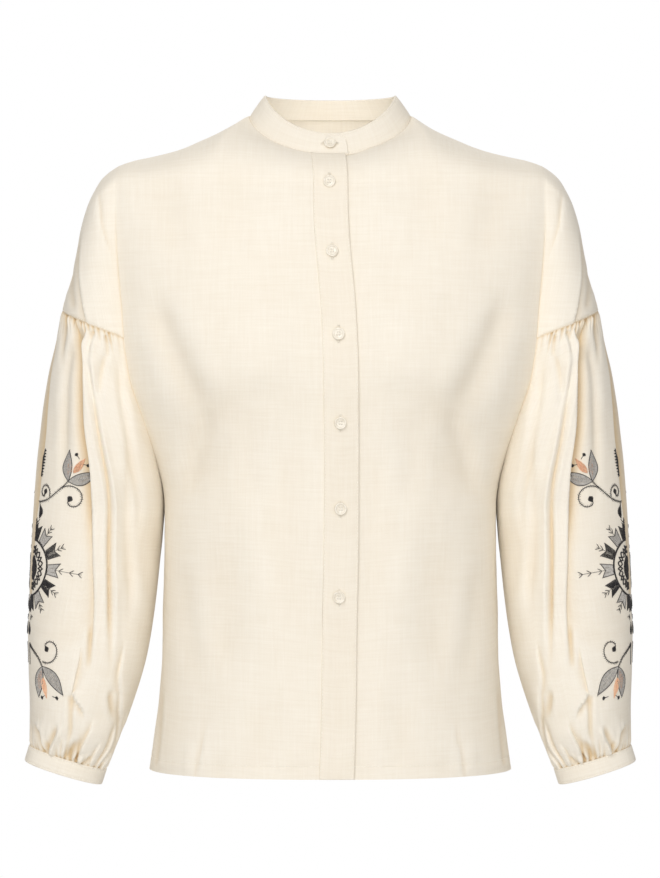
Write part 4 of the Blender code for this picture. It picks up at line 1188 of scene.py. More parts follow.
# ------------------------------------------------------------------ buttons
def button_mesh(name, place, out, up, mat, thread_mat):
    """A four-hole shell button with a raised rim and a dished face, sewn on through its holes."""
    out = np.array(out, float) / np.linalg.norm(out)
    side = np.cross(up, out)
    side /= np.linalg.norm(side)
    up = np.cross(out, side)
    n, well, hole, off = 40, 3.55, 0.62, 1.12
    ring = [(well * math.cos(2 * math.pi * k / n), well * math.sin(2 * math.pi * k / n)) for k in range(n)]
    pts, edges = list(ring), [(k, (k + 1) % n) for k in range(n)]
    middles = [(off, off), (-off, off), (-off, -off), (off, -off)]
    m = 10
    for cx, cy in middles:
        a = len(pts)
        pts += [(cx + hole * math.cos(2 * math.pi * k / m), cy + hole * math.sin(2 * math.pi * k / m)) for k in range(m)]
        edges += [(a + k, a + (k + 1) % m) for k in range(m)]
    flat = delaunay_2d_cdt([Vector(p) for p in pts], edges, [], 0, 1e-5)
    v2, tris = [tuple(v) for v in flat[0]], flat[2]
    keep = []
    for t in tris:
        cx, cy = (sum(v2[i][c] for i in t) / 3 for c in (0, 1))
        if min(math.hypot(cx - a, cy - b) for a, b in middles) > hole * 0.93:
            keep.append(list(t))
    V, F = [], []
    for x, y in v2:
        V.append((x, y, 1.42 + 0.10 * (math.hypot(x, y) / well) ** 2))
    for x, y in v2:
        V.append((x, y, 0.0))
    k2 = len(v2)
    for t in keep:
        a, b, c = t
        (ax, ay), (bx, by), (cx, cy) = v2[a], v2[b], v2[c]
        if (bx - ax) * (cy - ay) - (by - ay) * (cx - ax) < 0:
            b, c = c, b
        F += [(a, b, c), (a + k2, c + k2, b + k2)]
    for h in range(4):
        a = n + h * m
        for k in range(m):
            p, q = a + k, a + (k + 1) % m
            F += [(p, p + k2, q + k2), (p, q + k2, q)]
    profile = [(3.75, 1.60), (3.95, 1.86), (4.25, 2.18), (4.65, 2.36), (5.05, 2.36), (5.4, 2.2),
               (5.65, 1.86), (5.75, 1.4), (5.65, 0.85), (5.3, 0.42), (4.7, 0.12), (4.1, 0.02)]
    first = len(V)
    for r, z in profile:
        V += [(r * math.cos(2 * math.pi * k / n), r * math.sin(2 * math.pi * k / n), z) for k in range(n)]
    loops = [list(range(n))] + [[first + j * n + k for k in range(n)] for j in range(len(profile))]
    loops.append([k2 + k for k in range(n)])
    for a, b in zip(loops[:-1], loops[1:]):
        for k in range(n):
            q = (k + 1) % n
            F += [(a[k], b[k], b[q]), (a[k], b[q], a[q])]
    W = np.array([place + side * x + up * y + out * z for x, y, z in V])
    disc = new_object(name + "_shell", W, np.array(F), mat, angle=40)
    # two thread bars and the shank
    paths, ups, lifts = [], [], []
    for cx in (-off, off):
        for d in (-0.22, 0.22):
            line = [(cx + d, -off - 0.15, 0.7), (cx + d, -off, 1.45), (cx + d, -0.6, 1.86), (cx + d, 0, 1.95),
                    (cx + d, 0.6, 1.86), (cx + d, off, 1.45), (cx + d, off + 0.15, 0.7)]
            paths.append([place + side * x + up * y + out * z for x, y, z in line])
            ups.append([out] * 7)
            lifts.append([0.0] * 7)
    for a in range(8):
        x, y = 1.0 * math.cos(a * math.pi / 4), 1.0 * math.sin(a * math.pi / 4)
        line = [(x, y, 0.3 - 0.16 * k) for k in range(7)]
        paths.append([place + side * px + up * py + out * z for px, py, z in line])
        ups.append([side * x + up * y] * 7)
        lifts.append([0.0] * 7)
    P = np.array(paths)
    rng = np.random.default_rng(9)
    thread = tubes(name + "_thread", P, unit(np.array(ups)), np.full(len(P), 0.24), np.array(lifts), thread_mat,
                   tone=rng.uniform(0, 1, len(P)), sides=6)
    return disc, thread


def buttonhole(middle_at, along, out, half, reach):
    """Close stitches round a slit: middle, way along it, outward way, half its length."""
    across = np.cross(out, along)
    P, N = [], []
    for sgn in (-1, 1):
        for t in np.arange(-half, half + 0.01, 0.42):
            a = middle_at + along * t + across * sgn * 0.22
            b = middle_at + along * t + across * sgn * (0.22 + reach)
            P.append([a, (a + b) / 2, b])
            N.append([out] * 3)
        for d in np.arange(-1.0, 1.01, 0.4):
            a = middle_at + along * sgn * half + across * d
            b = middle_at + along * sgn * (half + 1.1) + across * d
            P.append([a, (a + b) / 2, b])
            N.append([out] * 3)
    t = np.linspace(-1, 1, 3)
    H = np.broadcast_to(-0.05 + 0.22 * (1 - t ** 4), (len(P), 3))
    return np.array(P), np.array(N), H


# ------------------------------------------------------------------ embroidery
class Chart:
    """The outside of a sleeve laid flat: a is mm from the outer fold's lip, positive towards
    the inside of the arm over the front; b is mm down from the shoulder seam."""

    def __init__(self, info, side):
        Q, N = info["Q"], info["N"]
        R = Q.shape[0]
        self.lo, self.hi, self.step = -112.0, 128.0, 0.5
        at = np.arange(self.lo, self.hi + 0.01, self.step)
        self.P = np.full((R, len(at), 3), np.nan)
        self.N = np.full((R, len(at), 3), np.nan)
        down = arc_length(Q[:, NF - 20:NF - 19], 0)[:, 0]
        self.b = down
        for i in range(R):
            f = Q[i, NF::-1]
            La = np.concatenate([[0], np.cumsum(np.linalg.norm(np.diff(f, axis=0), axis=1))])
            pick = at >= 0
            for c in range(3):
                self.P[i, pick, c] = np.interp(at[pick], La, f[:, c], right=np.nan)
                self.N[i, pick, c] = np.interp(at[pick], La, N[i, NF::-1, c])
            k = float(smooth(info["deep"][i], 0, 7))
            z = Q[i, NF:NF + NZ + 1]
            Lz = np.concatenate([[0], np.cumsum(np.linalg.norm(np.diff(z, axis=0), axis=1))])
            half = NZ // 2
            if k > 0.5:
                hidden = 20.0
                pick = (at < 0) & (at > -hidden + 1)
                for c in range(3):
                    self.P[i, pick, c] = np.interp(-at[pick] * Lz[half] / hidden, Lz, z[:, c])
                    self.N[i, pick, c] = np.interp(-at[pick] * Lz[half] / hidden, Lz, N[i, NF:NF + NZ + 1, c])
            else:
                hidden = Lz[-1]
                pick = (at < 0) & (at >= -hidden)
                for c in range(3):
                    self.P[i, pick, c] = np.interp(-at[pick], Lz, z[:, c])
                    self.N[i, pick, c] = np.interp(-at[pick], Lz, N[i, NF:NF + NZ + 1, c])
            g = Q[i, NF + NZ:]
            Lg = np.concatenate([[0], np.cumsum(np.linalg.norm(np.diff(g, axis=0), axis=1))])
            pick = at < -hidden - 0.75
            for c in range(3):
                self.P[i, pick, c] = np.interp(-at[pick] - hidden, Lg, g[:, c], right=np.nan)
                self.N[i, pick, c] = np.interp(-at[pick] - hidden, Lg, N[i, NF + NZ:, c])
        self.at_view = seen(self.P)
        self.side = side

    def spot(self, u, v):
        """The chart's place of a point in the front view."""
        pick = slice(int(-self.lo / self.step), None)
        d = (self.at_view[0][:, pick] - u) ** 2 + (self.at_view[1][:, pick] - v) ** 2
        k = np.nanargmin(d)
        i, j = np.unravel_index(k, d.shape)
        best_b = self.b[i]
        # between rows
        lo, hi = max(i - 1, 0), min(i + 1, len(self.b) - 1)
        vv = self.at_view[1][lo:hi + 1, pick][:, j]
        best_b = np.interp(v, vv, self.b[lo:hi + 1])
        return np.array([j * self.step, best_b])

    def lay(self, q):
        """3-D places and outward ways of chart points q (..., 2)."""
        a = (q[..., 0] - self.lo) / self.step
        i = np.clip(np.searchsorted(self.b, q[..., 1]) - 1, 0, len(self.b) - 2)
        t = ((q[..., 1] - self.b[i]) / (self.b[i + 1] - self.b[i]))[..., None]
        j = np.clip(np.floor(a).astype(int), 0, self.P.shape[1] - 2)
        w = (a - j)[..., None]
        out = []
        for G in (self.P, self.N):
            out.append((G[i, j] * (1 - w) + G[i, j + 1] * w) * (1 - t)
                       + (G[i + 1, j] * (1 - w) + G[i + 1, j + 1] * w) * t)
        P, N = out[0], unit(out[1])
        m = np.array([self.side, 1.0, 1.0])
        return P * m, N * m


def turn2(p, degrees):
    c, s = math.cos(math.radians(degrees)), math.sin(math.radians(degrees))
    p = np.asarray(p, float)
    return np.stack([p[..., 0] * c - p[..., 1] * s, p[..., 0] * s + p[..., 1] * c], -1)


class Needle:
    """Collects threads in the chart's own flat sizes, by colour."""

    def __init__(self, seed):
        self.rng = np.random.default_rng(seed)
        self.work = {"black": [], "grey": [], "peach": []}

    def put(self, colour, p0, p1, r, rise, shade=None):
        p0, p1 = np.atleast_2d(p0), np.atleast_2d(p1)
        n = len(p0)
        tone = self.rng.uniform(0, 1, n) if shade is None else np.clip(shade + self.rng.normal(0, 0.12, n), 0, 1)
        self.work[colour].append((p0, p1, np.full(n, r), np.full(n, rise), tone))

    def rope(self, line, colour="black", r=0.34, gap=1.0, long=2.4, lean=16, barbs=0.0, rise=0.34):
        """Stem stitch: short slanting stitches that overlap along a line."""
        line = np.asarray(line, float)
        L = np.concatenate([[0], np.cumsum(np.linalg.norm(np.diff(line, axis=0), axis=1))])
        s = np.arange(gap / 2, L[-1], gap)
        mid = np.stack([np.interp(s, L, line[:, c]) for c in (0, 1)], -1)
        ahead = np.stack([np.interp(s + 0.3, L, line[:, c]) - np.interp(s - 0.3, L, line[:, c]) for c in (0, 1)], -1)
        way = turn2(unit(ahead), lean) * (long / 2 * self.rng.uniform(0.85, 1.15, (len(s), 1)))
        self.put(colour, mid - way, mid + way, r, rise)
        if barbs:
            k = slice(None, None, 2)
            out = turn2(unit(ahead[k]), 70) * barbs * self.rng.uniform(0.7, 1.2, (len(s[k]), 1))
            self.put(colour, mid[k] - out * 0.45, mid[k] + out * 0.6, r * 0.75, rise * 0.9)

    def fill(self, poly, angle, colour, pitch=0.46, r=0.27, long=6.0, rise=0.30, skip=0.0, shade=None, rough=0.35):
        """Satin and long-and-short stitches across a shape."""
        poly = turn2(np.asarray(poly, float), -angle)
        lo, hi = poly[:, 1].min(), poly[:, 1].max()
        A, B = poly, np.roll(poly, -1, axis=0)
        p0, p1 = [], []
        for y in np.arange(lo + pitch / 2, hi, pitch):
            cut = (A[:, 1] <= y) != (B[:, 1] <= y)
            x = np.sort(A[cut, 0] + (y - A[cut, 1]) / (B[cut, 1] - A[cut, 1]) * (B[cut, 0] - A[cut, 0]))
            for a, b in zip(x[::2], x[1::2]):
                if b - a < 0.35:
                    continue
                a, b = a - rough * self.rng.uniform(-0.3, 0.6), b + rough * self.rng.uniform(-0.3, 0.6)
                n = max(1, int(math.ceil((b - a) / long)))
                cuts = np.linspace(a, b, n + 1)
                if n > 1:
                    cuts[1:-1] += self.rng.uniform(-0.28, 0.28, n - 1) * (b - a) / n
                for c, d in zip(cuts[:-1], cuts[1:]):
                    if self.rng.uniform() < skip:
                        continue
                    p0.append((c - 0.15, y))
                    p1.append((d + 0.15, y))
        if p0:
            self.put(colour, turn2(np.array(p0), angle), turn2(np.array(p1), angle), r, rise, shade)

    def finish(self, chart, name, mats):
        made = []
        for colour, parts in self.work.items():
            p0, p1, r, rise, tone = (np.concatenate([p[k] for p in parts]) for k in range(5))
            long = np.linalg.norm(p1 - p0, axis=1)
            for word, pick, samples in (("short", long < 2.8, 3), ("long", long >= 2.8, 5)):
                t = np.linspace(0, 1, samples)
                q = p0[pick, None] + (p1 - p0)[pick, None] * t[None, :, None]
                P, N = chart.lay(q)
                good = np.isfinite(P).all((1, 2)) & np.isfinite(N).all((1, 2))
                jump = np.linalg.norm(np.diff(P, axis=1), axis=-1).max(1)
                good &= jump < long[pick] / (samples - 1) * 2.2 + 0.6
                if not good.any():
                    continue
                lift = 0.08 + rise[pick][:, None] * (1 - (2 * t[None] - 1) ** 4)
                made.append(tubes(f"{name}_{word}_{colour}", P[good], N[good], r[pick][good], lift[good], mats[colour],
                                  tone=tone[pick][good], sides=3))
        return made


def leaf(base, tip, wide_a, wide_b, lead=0.9, n=22):
    """A pointed shape from base to tip, bulging by wide_a on its left and wide_b on its right."""
    base, tip = np.asarray(base, float), np.asarray(tip, float)
    along = tip - base
    side = np.array([along[1], -along[0]]) / np.linalg.norm(along)
    t = np.linspace(0, 1, n)[:, None]
    left = base + along * t + side * wide_a * np.sin(math.pi * t ** lead)
    right = base + along * t - side * wide_b * np.sin(math.pi * t ** lead)
    return np.concatenate([left, right[::-1]])


def curl(start, heading, length, first, last, n=60, power=1.0):
    """A scroll whose bend grows evenly along it: heading in degrees, bends in 1/mm."""
    s = np.linspace(0, length, n)
    bend = first + (last - first) * (s / length) ** power
    a = math.radians(heading) + np.concatenate([[0], np.cumsum((bend[1:] + bend[:-1]) / 2 * np.diff(s))])
    step = np.stack([np.cos(a), np.sin(a)], 1)
    p = np.concatenate([[[0, 0]], np.cumsum((step[1:] + step[:-1]) / 2 * np.diff(s)[:, None], axis=0)])
    return np.asarray(start, float) + p, math.degrees(a[-1])


def drop(needle, base, heading, long, wide):
    """A solid teardrop with its point at base."""
    way = np.array([math.cos(math.radians(heading)), math.sin(math.radians(heading))])
    shape = leaf(base, np.asarray(base) + way * long, wide / 2, wide / 2, lead=1.7)
    needle.fill(shape, heading + 78, "black", pitch=0.42, r=0.27, long=9, rise=0.5)
    needle.rope(np.concatenate([shape, shape[:1]]), r=0.24, gap=0.9, long=1.8, rise=0.42)


def petal(needle, base, tip, wide_a, wide_b, blush=False):
    shape = leaf(base, tip, wide_a, wide_b, lead=0.92)
    along = np.asarray(tip) - np.asarray(base)
    ang = math.degrees(math.atan2(along[1], along[0]))
    needle.fill(shape, ang + 84, "grey", pitch=0.45, r=0.27, long=4.2, rise=0.34)
    needle.fill(shape, ang + 80, "black", pitch=1.5, r=0.11, long=2.2, rise=0.60, skip=0.55)
    if blush:
        side = np.array([along[1], -along[0]]) / np.linalg.norm(along) * (-1 if wide_a > wide_b else 1)
        b = np.asarray(base) + along * 0.12
        inner = leaf(b + side * 0.2, b + along * 0.62 + side * 0.4, 2.4, 0.4 + max(wide_b if wide_a > wide_b else wide_a, 0.4))
        needle.fill(inner, ang + 84, "peach", pitch=0.95, r=0.20, long=3.0, rise=0.62, skip=0.2, shade=0.1)
    n = len(shape) // 2
    needle.rope(shape[:n + 1], r=0.33, gap=0.85, long=2.2, rise=0.45)
    needle.rope(shape[n:][::-1], r=0.33, gap=0.85, long=2.2, rise=0.45)


def tulip(needle, base, heading, turned, spread_a, spread_b, long_a, long_b, wide, bud, dots):
    """Two open petals, a flame between them and a dotted stamen beside each. turned is 1
    or -1, the way round that the petals lie."""
    def way(d):
        return np.array([math.cos(math.radians(d)), math.sin(math.radians(d))])
    base = np.asarray(base, float)
    tip_a, tip_b = base + way(heading - turned * spread_a) * long_a, base + way(heading + turned * spread_b) * long_b
    outside, inside = wide * 0.74, wide * 0.36
    petal(needle, base, tip_a, *((outside, inside) if turned > 0 else (inside, outside)), blush=True)
    petal(needle, base, tip_b, *((inside, outside) if turned > 0 else (outside, inside)))
    b = base + way(heading - 12 * turned) * 9.0
    flame = leaf(b, b + way(heading - 7 * turned) * bud, 3.0, 3.6, lead=0.8)
    needle.fill(flame, heading + 14, "peach", pitch=0.42, r=0.28, long=5.0, rise=0.36)
    for (turn, far), lean in zip(dots, (-1, 1)):
        e = base + way(heading + turned * turn) * far
        w = way(heading + turned * (turn + lean * 55))
        needle.rope(np.array([e - w * 3.4, e]), r=0.27, gap=0.8, long=1.8)
        drop(needle, e - w * 0.6, heading + turned * (turn + lean * 55), 3.6, 2.9)


def fern(needle, start, heading, length, pairs):
    way = np.array([math.cos(math.radians(heading)), math.sin(math.radians(heading))])
    start = np.asarray(start, float)
    needle.rope(np.array([start, start + way * length]), r=0.22, gap=1.1, long=2.0, lean=6, rise=0.26)
    for k in pairs:
        p = start + way * length * k
        for sgn in (-1, 1):
            q = p + turn2(way, sgn * 34) * 5.0
            needle.put("black", p, q, 0.31, 0.36)
            needle.put("black", p + way * 0.35, q + way * 0.35, 0.26, 0.32)


def banner(needle, middle_at, heading, r0, dark):
    """A swallow-tailed tab that stands out from the ring."""
    def at(r, w):
        return middle_at + turn2(np.array([r, w]), heading)
    r1, r2, w0, w1 = r0 + 1.0, r0 + 14.2, 4.5, 6.4
    shape = np.array([at(r1, -w0), at(r2, -w1), at(r2 - 4.2, 0), at(r2, w1), at(r1, w0)])
    if dark:
        needle.fill(shape, heading + 58, "black", pitch=0.62, r=0.30, long=7, rise=0.42)
    else:
        needle.fill(shape, heading + 84, "grey", pitch=0.46, r=0.27, long=5, rise=0.34)
        needle.fill(shape, heading + 8, "black", pitch=2.1, r=0.10, long=2.0, rise=0.5, skip=0.4)
    for a, b in zip(shape, np.roll(shape, -1, axis=0)):
        needle.rope(np.array([a, b]), r=0.32, gap=0.8, long=2.0, rise=0.46)


def embroider(info, side, name, mats):
    chart = Chart(info, side)
    nd = Needle(77)
    spot = chart.spot
    halves = (1, -1)

    def flip(points, h):
        return np.asarray(points, float) * np.array([h, 1.0])

    right = spot(46.9, 569.5)
    R = 27.5
    mid = np.array([right[0] - R, right[1]])
    base_u = spot(68.5, 481.0)
    stem_u = np.array([spot(*p) for p in ((39.9, 502), (48, 499), (55, 493.5), (61.5, 487.5), (68.5, 481))])
    scroll_l, scroll_r = spot(49.6, 496.5), spot(61.6, 487.8)
    base_d = spot(42.4, 666.6)
    stem_d = np.array([spot(*p) for p in ((30.0, 643), (33.5, 650), (38, 657.5), (42.4, 666.6))])
    scroll_d = spot(42.6, 661.5)
    for h in halves:
        one = Needle(77)
        one.work = {k: [] for k in nd.work}
        # upper branch
        one.rope(fold_line(stem_u, 0.8), r=0.36, gap=0.9, barbs=3.6)
        line, end = curl(scroll_l, -78, 31.0, -0.085, -0.245)
        one.rope(line, r=0.33, gap=0.95, barbs=2.9)
        drop(one, line[-1], end - 62, 6.6, 4.3)
        line, end = curl(scroll_r, -26, 48.0, 0.045, 0.150)
        one.rope(line, r=0.33, gap=0.95, barbs=2.9)
        drop(one, line[-1], end + 62, 7.2, 5.2)
        tulip(one, base_u, -46, 1, 47, 31, 29.0, 29.0, 10.5, 18.0, ((-26, 25.5), (4, 23.0)))
        # curved leaf and twig under the branch
        c = spot(40.3, 503.0)
        body_leaf = leaf(c + [0.3, 0], c + [2.0, 15.0], 5.4, 0.6, lead=1.25)
        one.fill(body_leaf, 24, "black", pitch=0.44, r=0.28, long=7, rise=0.5)
        fern(one, c + [-1.5, 24.0], -78, 6.5, (0.25, 0.8))
        # serrated leaf along the fold
        s0, s1 = spot(46.0, 449), spot(42.0, 476)
        for k in range(9):
            p = s0 + (s1 - s0) * (k + 0.5) / 9
            w = 1.4 + 1.5 * math.sin(math.pi * (k + 0.5) / 9)
            tooth = np.array([p + [-1.2, -1.2], p + [w, -0.5], p + [w + 0.5, 0.4], p + [-0.2, 1.0], p + [-1.2, 1.0]])
            one.fill(tooth, 14, "black", pitch=0.40, r=0.28, long=6, rise=0.45)
        one.rope(np.array([s0, s1]) - [0.7, 0], r=0.34, gap=0.8, long=2.2, rise=0.45)
        # the ring, its looped band and its tabs
        t = np.linspace(-90, 90, 80)
        for rr, r in ((R, 0.42), (R - 1.0, 0.34)):
            one.rope(mid + np.stack([rr * np.cos(np.radians(t)), rr * np.sin(np.radians(t))], 1), r=r, gap=0.8, long=2.2, rise=0.5)
        for base_r, depth, r in ((14.2, 6.6, 0.52), (15.3, 6.2, 0.46), (21.6, -6.4, 0.50), (20.6, -6.0, 0.44)):
            t = np.linspace(-90, 90, 240)
            loops = base_r + depth * (1 - np.abs(2 * ((t / 30.0) % 1.0) - 1) ** 1.4)
            one.rope(mid + np.stack([loops * np.cos(np.radians(t)), loops * np.sin(np.radians(t))], 1), r=r, gap=0.75, long=1.7,
                     lean=5, rise=0.5)
        t = np.linspace(-90, 90, 40)
        inner = [mid + 12.0 * np.array([math.cos(math.radians(q)), math.sin(math.radians(q))]) for q in t]
        one.fill(np.array(inner), 90, "black", pitch=0.44, r=0.28, long=8, rise=0.45)
        for deg, dark in ((-80, True), (-56, False), (-28, True), (0, False), (28, True), (56, False), (80, True)):
            banner(one, mid, deg, R, dark)
            tip = mid + turn2(np.array([R + 10.6, 0]), deg)
            if deg == 0:
                fern(one, tip, deg + 4, 26.0, (0.12, 0.55, 0.88))
            elif abs(deg) < 70:
                fern(one, tip, deg * 0.9, 9.5, (0.28, 0.72))
        # small buds between ring and lower branch
        c = spot(30.6, 619.0)
        drop(one, c + [-1.5, 3.0], 82, 12.0, 5.0)
        fern(one, c + [0.0, -4.5], 50, 4.0, (0.2,))
        # lower branch
        one.rope(fold_line(stem_d, 0.8), r=0.36, gap=0.9, barbs=3.6)
        line, end = curl(stem_d[0], 70, 20.0, 0.01, 0.05)
        one.rope(line, r=0.33, gap=0.95, barbs=1.4)
        line, end = curl(scroll_d, 12, 44.0, -0.055, -0.150)
        one.rope(line, r=0.33, gap=0.95, barbs=2.9)
        drop(one, line[-1], end - 62, 6.6, 4.6)
        tulip(one, base_d, 72, -1, 31, 31, 29.5, 31.5, 11.0, 19.5, ((-19, 27.5), (14, 29.0)))
        for colour, parts in one.work.items():
            for p0, p1, r, rise, tone in parts:
                nd.work[colour].append((flip(p0, h), flip(p1, h), r, rise, tone))
    return nd.finish(chart, name, mats)


# ------------------------------------------------------------------ materials
def node(nt, kind, **inputs):
    n = nt.nodes.new(kind)
    for k, v in inputs.items():
        if k.startswith("_"):
            setattr(n, k[1:], v)
        else:
            n.inputs[k.replace("__", " ")].default_value = v
    return n


def linen_material():
    m = bpy.data.materials.new("linen")
    m.use_nodes = True
    nt = m.node_tree
    nt.nodes.clear()
    link = nt.links.new
    out = nt.nodes.new("ShaderNodeOutputMaterial")
    sh = nt.nodes.new("ShaderNodeBsdfPrincipled")
    link(sh.outputs[0], out.inputs["Surface"])
    uv = node(nt, "ShaderNodeUVMap", _uv_map="cloth")
    sep = nt.nodes.new("ShaderNodeSeparateXYZ")
    link(uv.outputs["UV"], sep.inputs[0])

    def threads(across, su, sv, detail, seed):
        comb = nt.nodes.new("ShaderNodeCombineXYZ")
        for i, (axis, scale) in enumerate(((0, su), (1, sv))):
            mul = node(nt, "ShaderNodeMath", _operation="MULTIPLY")
            mul.inputs[1].default_value = scale
            link(sep.outputs[axis], mul.inputs[0])
            link(mul.outputs[0], comb.inputs[i])
        comb.inputs[2].default_value = seed
        nz = node(nt, "ShaderNodeTexNoise", Scale=1.0, Detail=detail, Roughness=0.55)
        link(comb.outputs[0], nz.inputs["Vector"])
        return nz.outputs["Fac"]

    warp = threads(0, 1500.0, 42.0, 2.0, 1.3)
    weft = threads(1, 46.0, 1500.0, 2.0, 7.7)
    slub_a = threads(0, 420.0, 22.0, 1.0, 3.1)
    slub_b = threads(1, 24.0, 420.0, 1.0, 9.2)
    cloud = threads(0, 16.0, 16.0, 3.0, 5.5)

    def wave(axis):
        comb = nt.nodes.new("ShaderNodeCombineXYZ")
        link(sep.outputs[axis], comb.inputs[0])
        w = node(nt, "ShaderNodeTexWave", Scale=1000.0 / 0.66 / (2 * math.pi) * 1.0, Distortion=0.0)
        w.wave_type = "BANDS"
        w.bands_direction = "X"
        w.wave_profile = "SIN"
        link(comb.outputs[0], w.inputs["Vector"])
        return w.outputs["Fac"]

    wu, wv = wave(0), wave(1)

    def mix(a, b, op):
        n = node(nt, "ShaderNodeMath", _operation=op)
        for i, x in enumerate((a, b)):
            if isinstance(x, (int, float)):
                n.inputs[i].default_value = x
            else:
                link(x, n.inputs[i])
        return n.outputs[0]

    colour_sum = mix(mix(mix(warp, weft, "ADD"), mix(slub_a, slub_b, "ADD"), "ADD"), 0.25, "MULTIPLY")
    colour_sum = mix(mix(colour_sum, 0.78, "MULTIPLY"), mix(cloud, 0.22, "MULTIPLY"), "ADD")
    ramp = nt.nodes.new("ShaderNodeValToRGB")
    ramp.color_ramp.elements[0].position = 0.30
    ramp.color_ramp.elements[0].color = (0.868, 0.803, 0.690, 1)
    ramp.color_ramp.elements[1].position = 0.72
    ramp.color_ramp.elements[1].color = (0.955, 0.913, 0.825, 1)
    link(colour_sum, ramp.inputs[0])
    # painted shade from the fold value: creases are coloured warmer and darker, and ridges paler as a painted
    # highlight
    painted_shade_attr = node(nt, "ShaderNodeAttribute", _attribute_name="fold")
    tint = nt.nodes.new("ShaderNodeValToRGB")
    tint.color_ramp.elements[0].position = 0.0
    tint.color_ramp.elements[0].color = (1.0, 1.0, 1.0, 1)
    tint.color_ramp.elements[1].position = 1.0
    tint.color_ramp.elements[1].color = (0.80, 0.665, 0.475, 1)
    e = tint.color_ramp.elements.new(0.48)
    e.color = (0.988, 0.980, 0.966, 1)
    half = mix(mix(painted_shade_attr.outputs["Fac"], 0.5, "MULTIPLY"), 0.5, "ADD")
    link(half, tint.inputs[0])
    both = node(nt, "ShaderNodeMix", _data_type="RGBA", _blend_type="MULTIPLY")
    both.inputs[0].default_value = 1.0
    link(ramp.outputs[0], both.inputs[6])
    link(tint.outputs[0], both.inputs[7])
    link(both.outputs[2], sh.inputs["Base Color"])
    weave = mix(mix(wu, wv, "ADD"), 0.5, "MULTIPLY")
    height = mix(mix(mix(warp, weft, "MAXIMUM"), 0.5, "MULTIPLY"), mix(weave, 0.5, "MULTIPLY"), "ADD")
    height = mix(height, mix(mix(slub_a, slub_b, "ADD"), 0.5, "MULTIPLY"), "ADD")
    bump = node(nt, "ShaderNodeBump", Strength=0.55, Distance=0.00022)
    link(height, bump.inputs["Height"])
    link(bump.outputs[0], sh.inputs["Normal"])
    sh.inputs["Roughness"].default_value = 0.86
    sh.inputs["Specular IOR Level"].default_value = 0.22
    sh.inputs["Sheen Weight"].default_value = 0.12
    sh.inputs["Sheen Roughness"].default_value = 0.5
    sh.inputs["Sheen Tint"].default_value = (1.0, 0.97, 0.90, 1)
    return m


def thread_material(name, dark, light, rough, shine, sheen):
    """Twisted stranded thread: its colour varies from thread to thread and along each one."""
    m = bpy.data.materials.new(name)
    m.use_nodes = True
    nt = m.node_tree
    sh = nt.nodes["Principled BSDF"]
    link = nt.links.new
    tone = node(nt, "ShaderNodeAttribute", _attribute_name="tone")
    tc = nt.nodes.new("ShaderNodeTexCoord")
    fine = node(nt, "ShaderNodeTexNoise", Scale=3200.0, Detail=3.0, Roughness=0.6)
    link(tc.outputs["Object"], fine.inputs["Vector"])
    total = node(nt, "ShaderNodeMath", _operation="MULTIPLY_ADD")
    link(tone.outputs["Fac"], total.inputs[0])
    total.inputs[1].default_value = 0.55
    part = node(nt, "ShaderNodeMath", _operation="MULTIPLY")
    link(fine.outputs["Fac"], part.inputs[0])
    part.inputs[1].default_value = 0.45
    link(part.outputs[0], total.inputs[2])
    ramp = nt.nodes.new("ShaderNodeValToRGB")
    ramp.color_ramp.elements[0].position = 0.12
    ramp.color_ramp.elements[0].color = (*dark, 1)
    ramp.color_ramp.elements[1].position = 0.85
    ramp.color_ramp.elements[1].color = (*light, 1)
    link(total.outputs[0], ramp.inputs[0])
    link(ramp.outputs[0], sh.inputs["Base Color"])
    bump = node(nt, "ShaderNodeBump", Strength=0.5, Distance=0.00010)
    link(fine.outputs["Fac"], bump.inputs["Height"])
    link(bump.outputs[0], sh.inputs["Normal"])
    sh.inputs["Roughness"].default_value = rough
    sh.inputs["Specular IOR Level"].default_value = shine
    sh.inputs["Sheen Weight"].default_value = sheen
    sh.inputs["Sheen Roughness"].default_value = 0.4
    return m


def shell_material():
    """Pearly shell: faint clouded layers under a satin polish."""
    m = bpy.data.materials.new("shell")
    m.use_nodes = True
    nt = m.node_tree
    sh = nt.nodes["Principled BSDF"]
    link = nt.links.new
    tc = nt.nodes.new("ShaderNodeTexCoord")
    layers = node(nt, "ShaderNodeTexNoise", Scale=260.0, Detail=3.0, Distortion=1.6)
    link(tc.outputs["Object"], layers.inputs["Vector"])
    ramp = nt.nodes.new("ShaderNodeValToRGB")
    ramp.color_ramp.elements[0].position = 0.30
    ramp.color_ramp.elements[0].color = (0.79, 0.715, 0.585, 1)
    ramp.color_ramp.elements[1].position = 0.68
    ramp.color_ramp.elements[1].color = (0.93, 0.88, 0.775, 1)
    link(layers.outputs["Fac"], ramp.inputs[0])
    link(ramp.outputs[0], sh.inputs["Base Color"])
    fine = node(nt, "ShaderNodeTexNoise", Scale=900.0, Detail=2.0)
    link(tc.outputs["Object"], fine.inputs["Vector"])
    bump = node(nt, "ShaderNodeBump", Strength=0.25, Distance=0.00008)
    link(fine.outputs["Fac"], bump.inputs["Height"])
    link(bump.outputs[0], sh.inputs["Normal"])
    sh.inputs["Roughness"].default_value = 0.32
    sh.inputs["Coat Weight"].default_value = 0.35
    sh.inputs["Coat Roughness"].default_value = 0.18
    return m


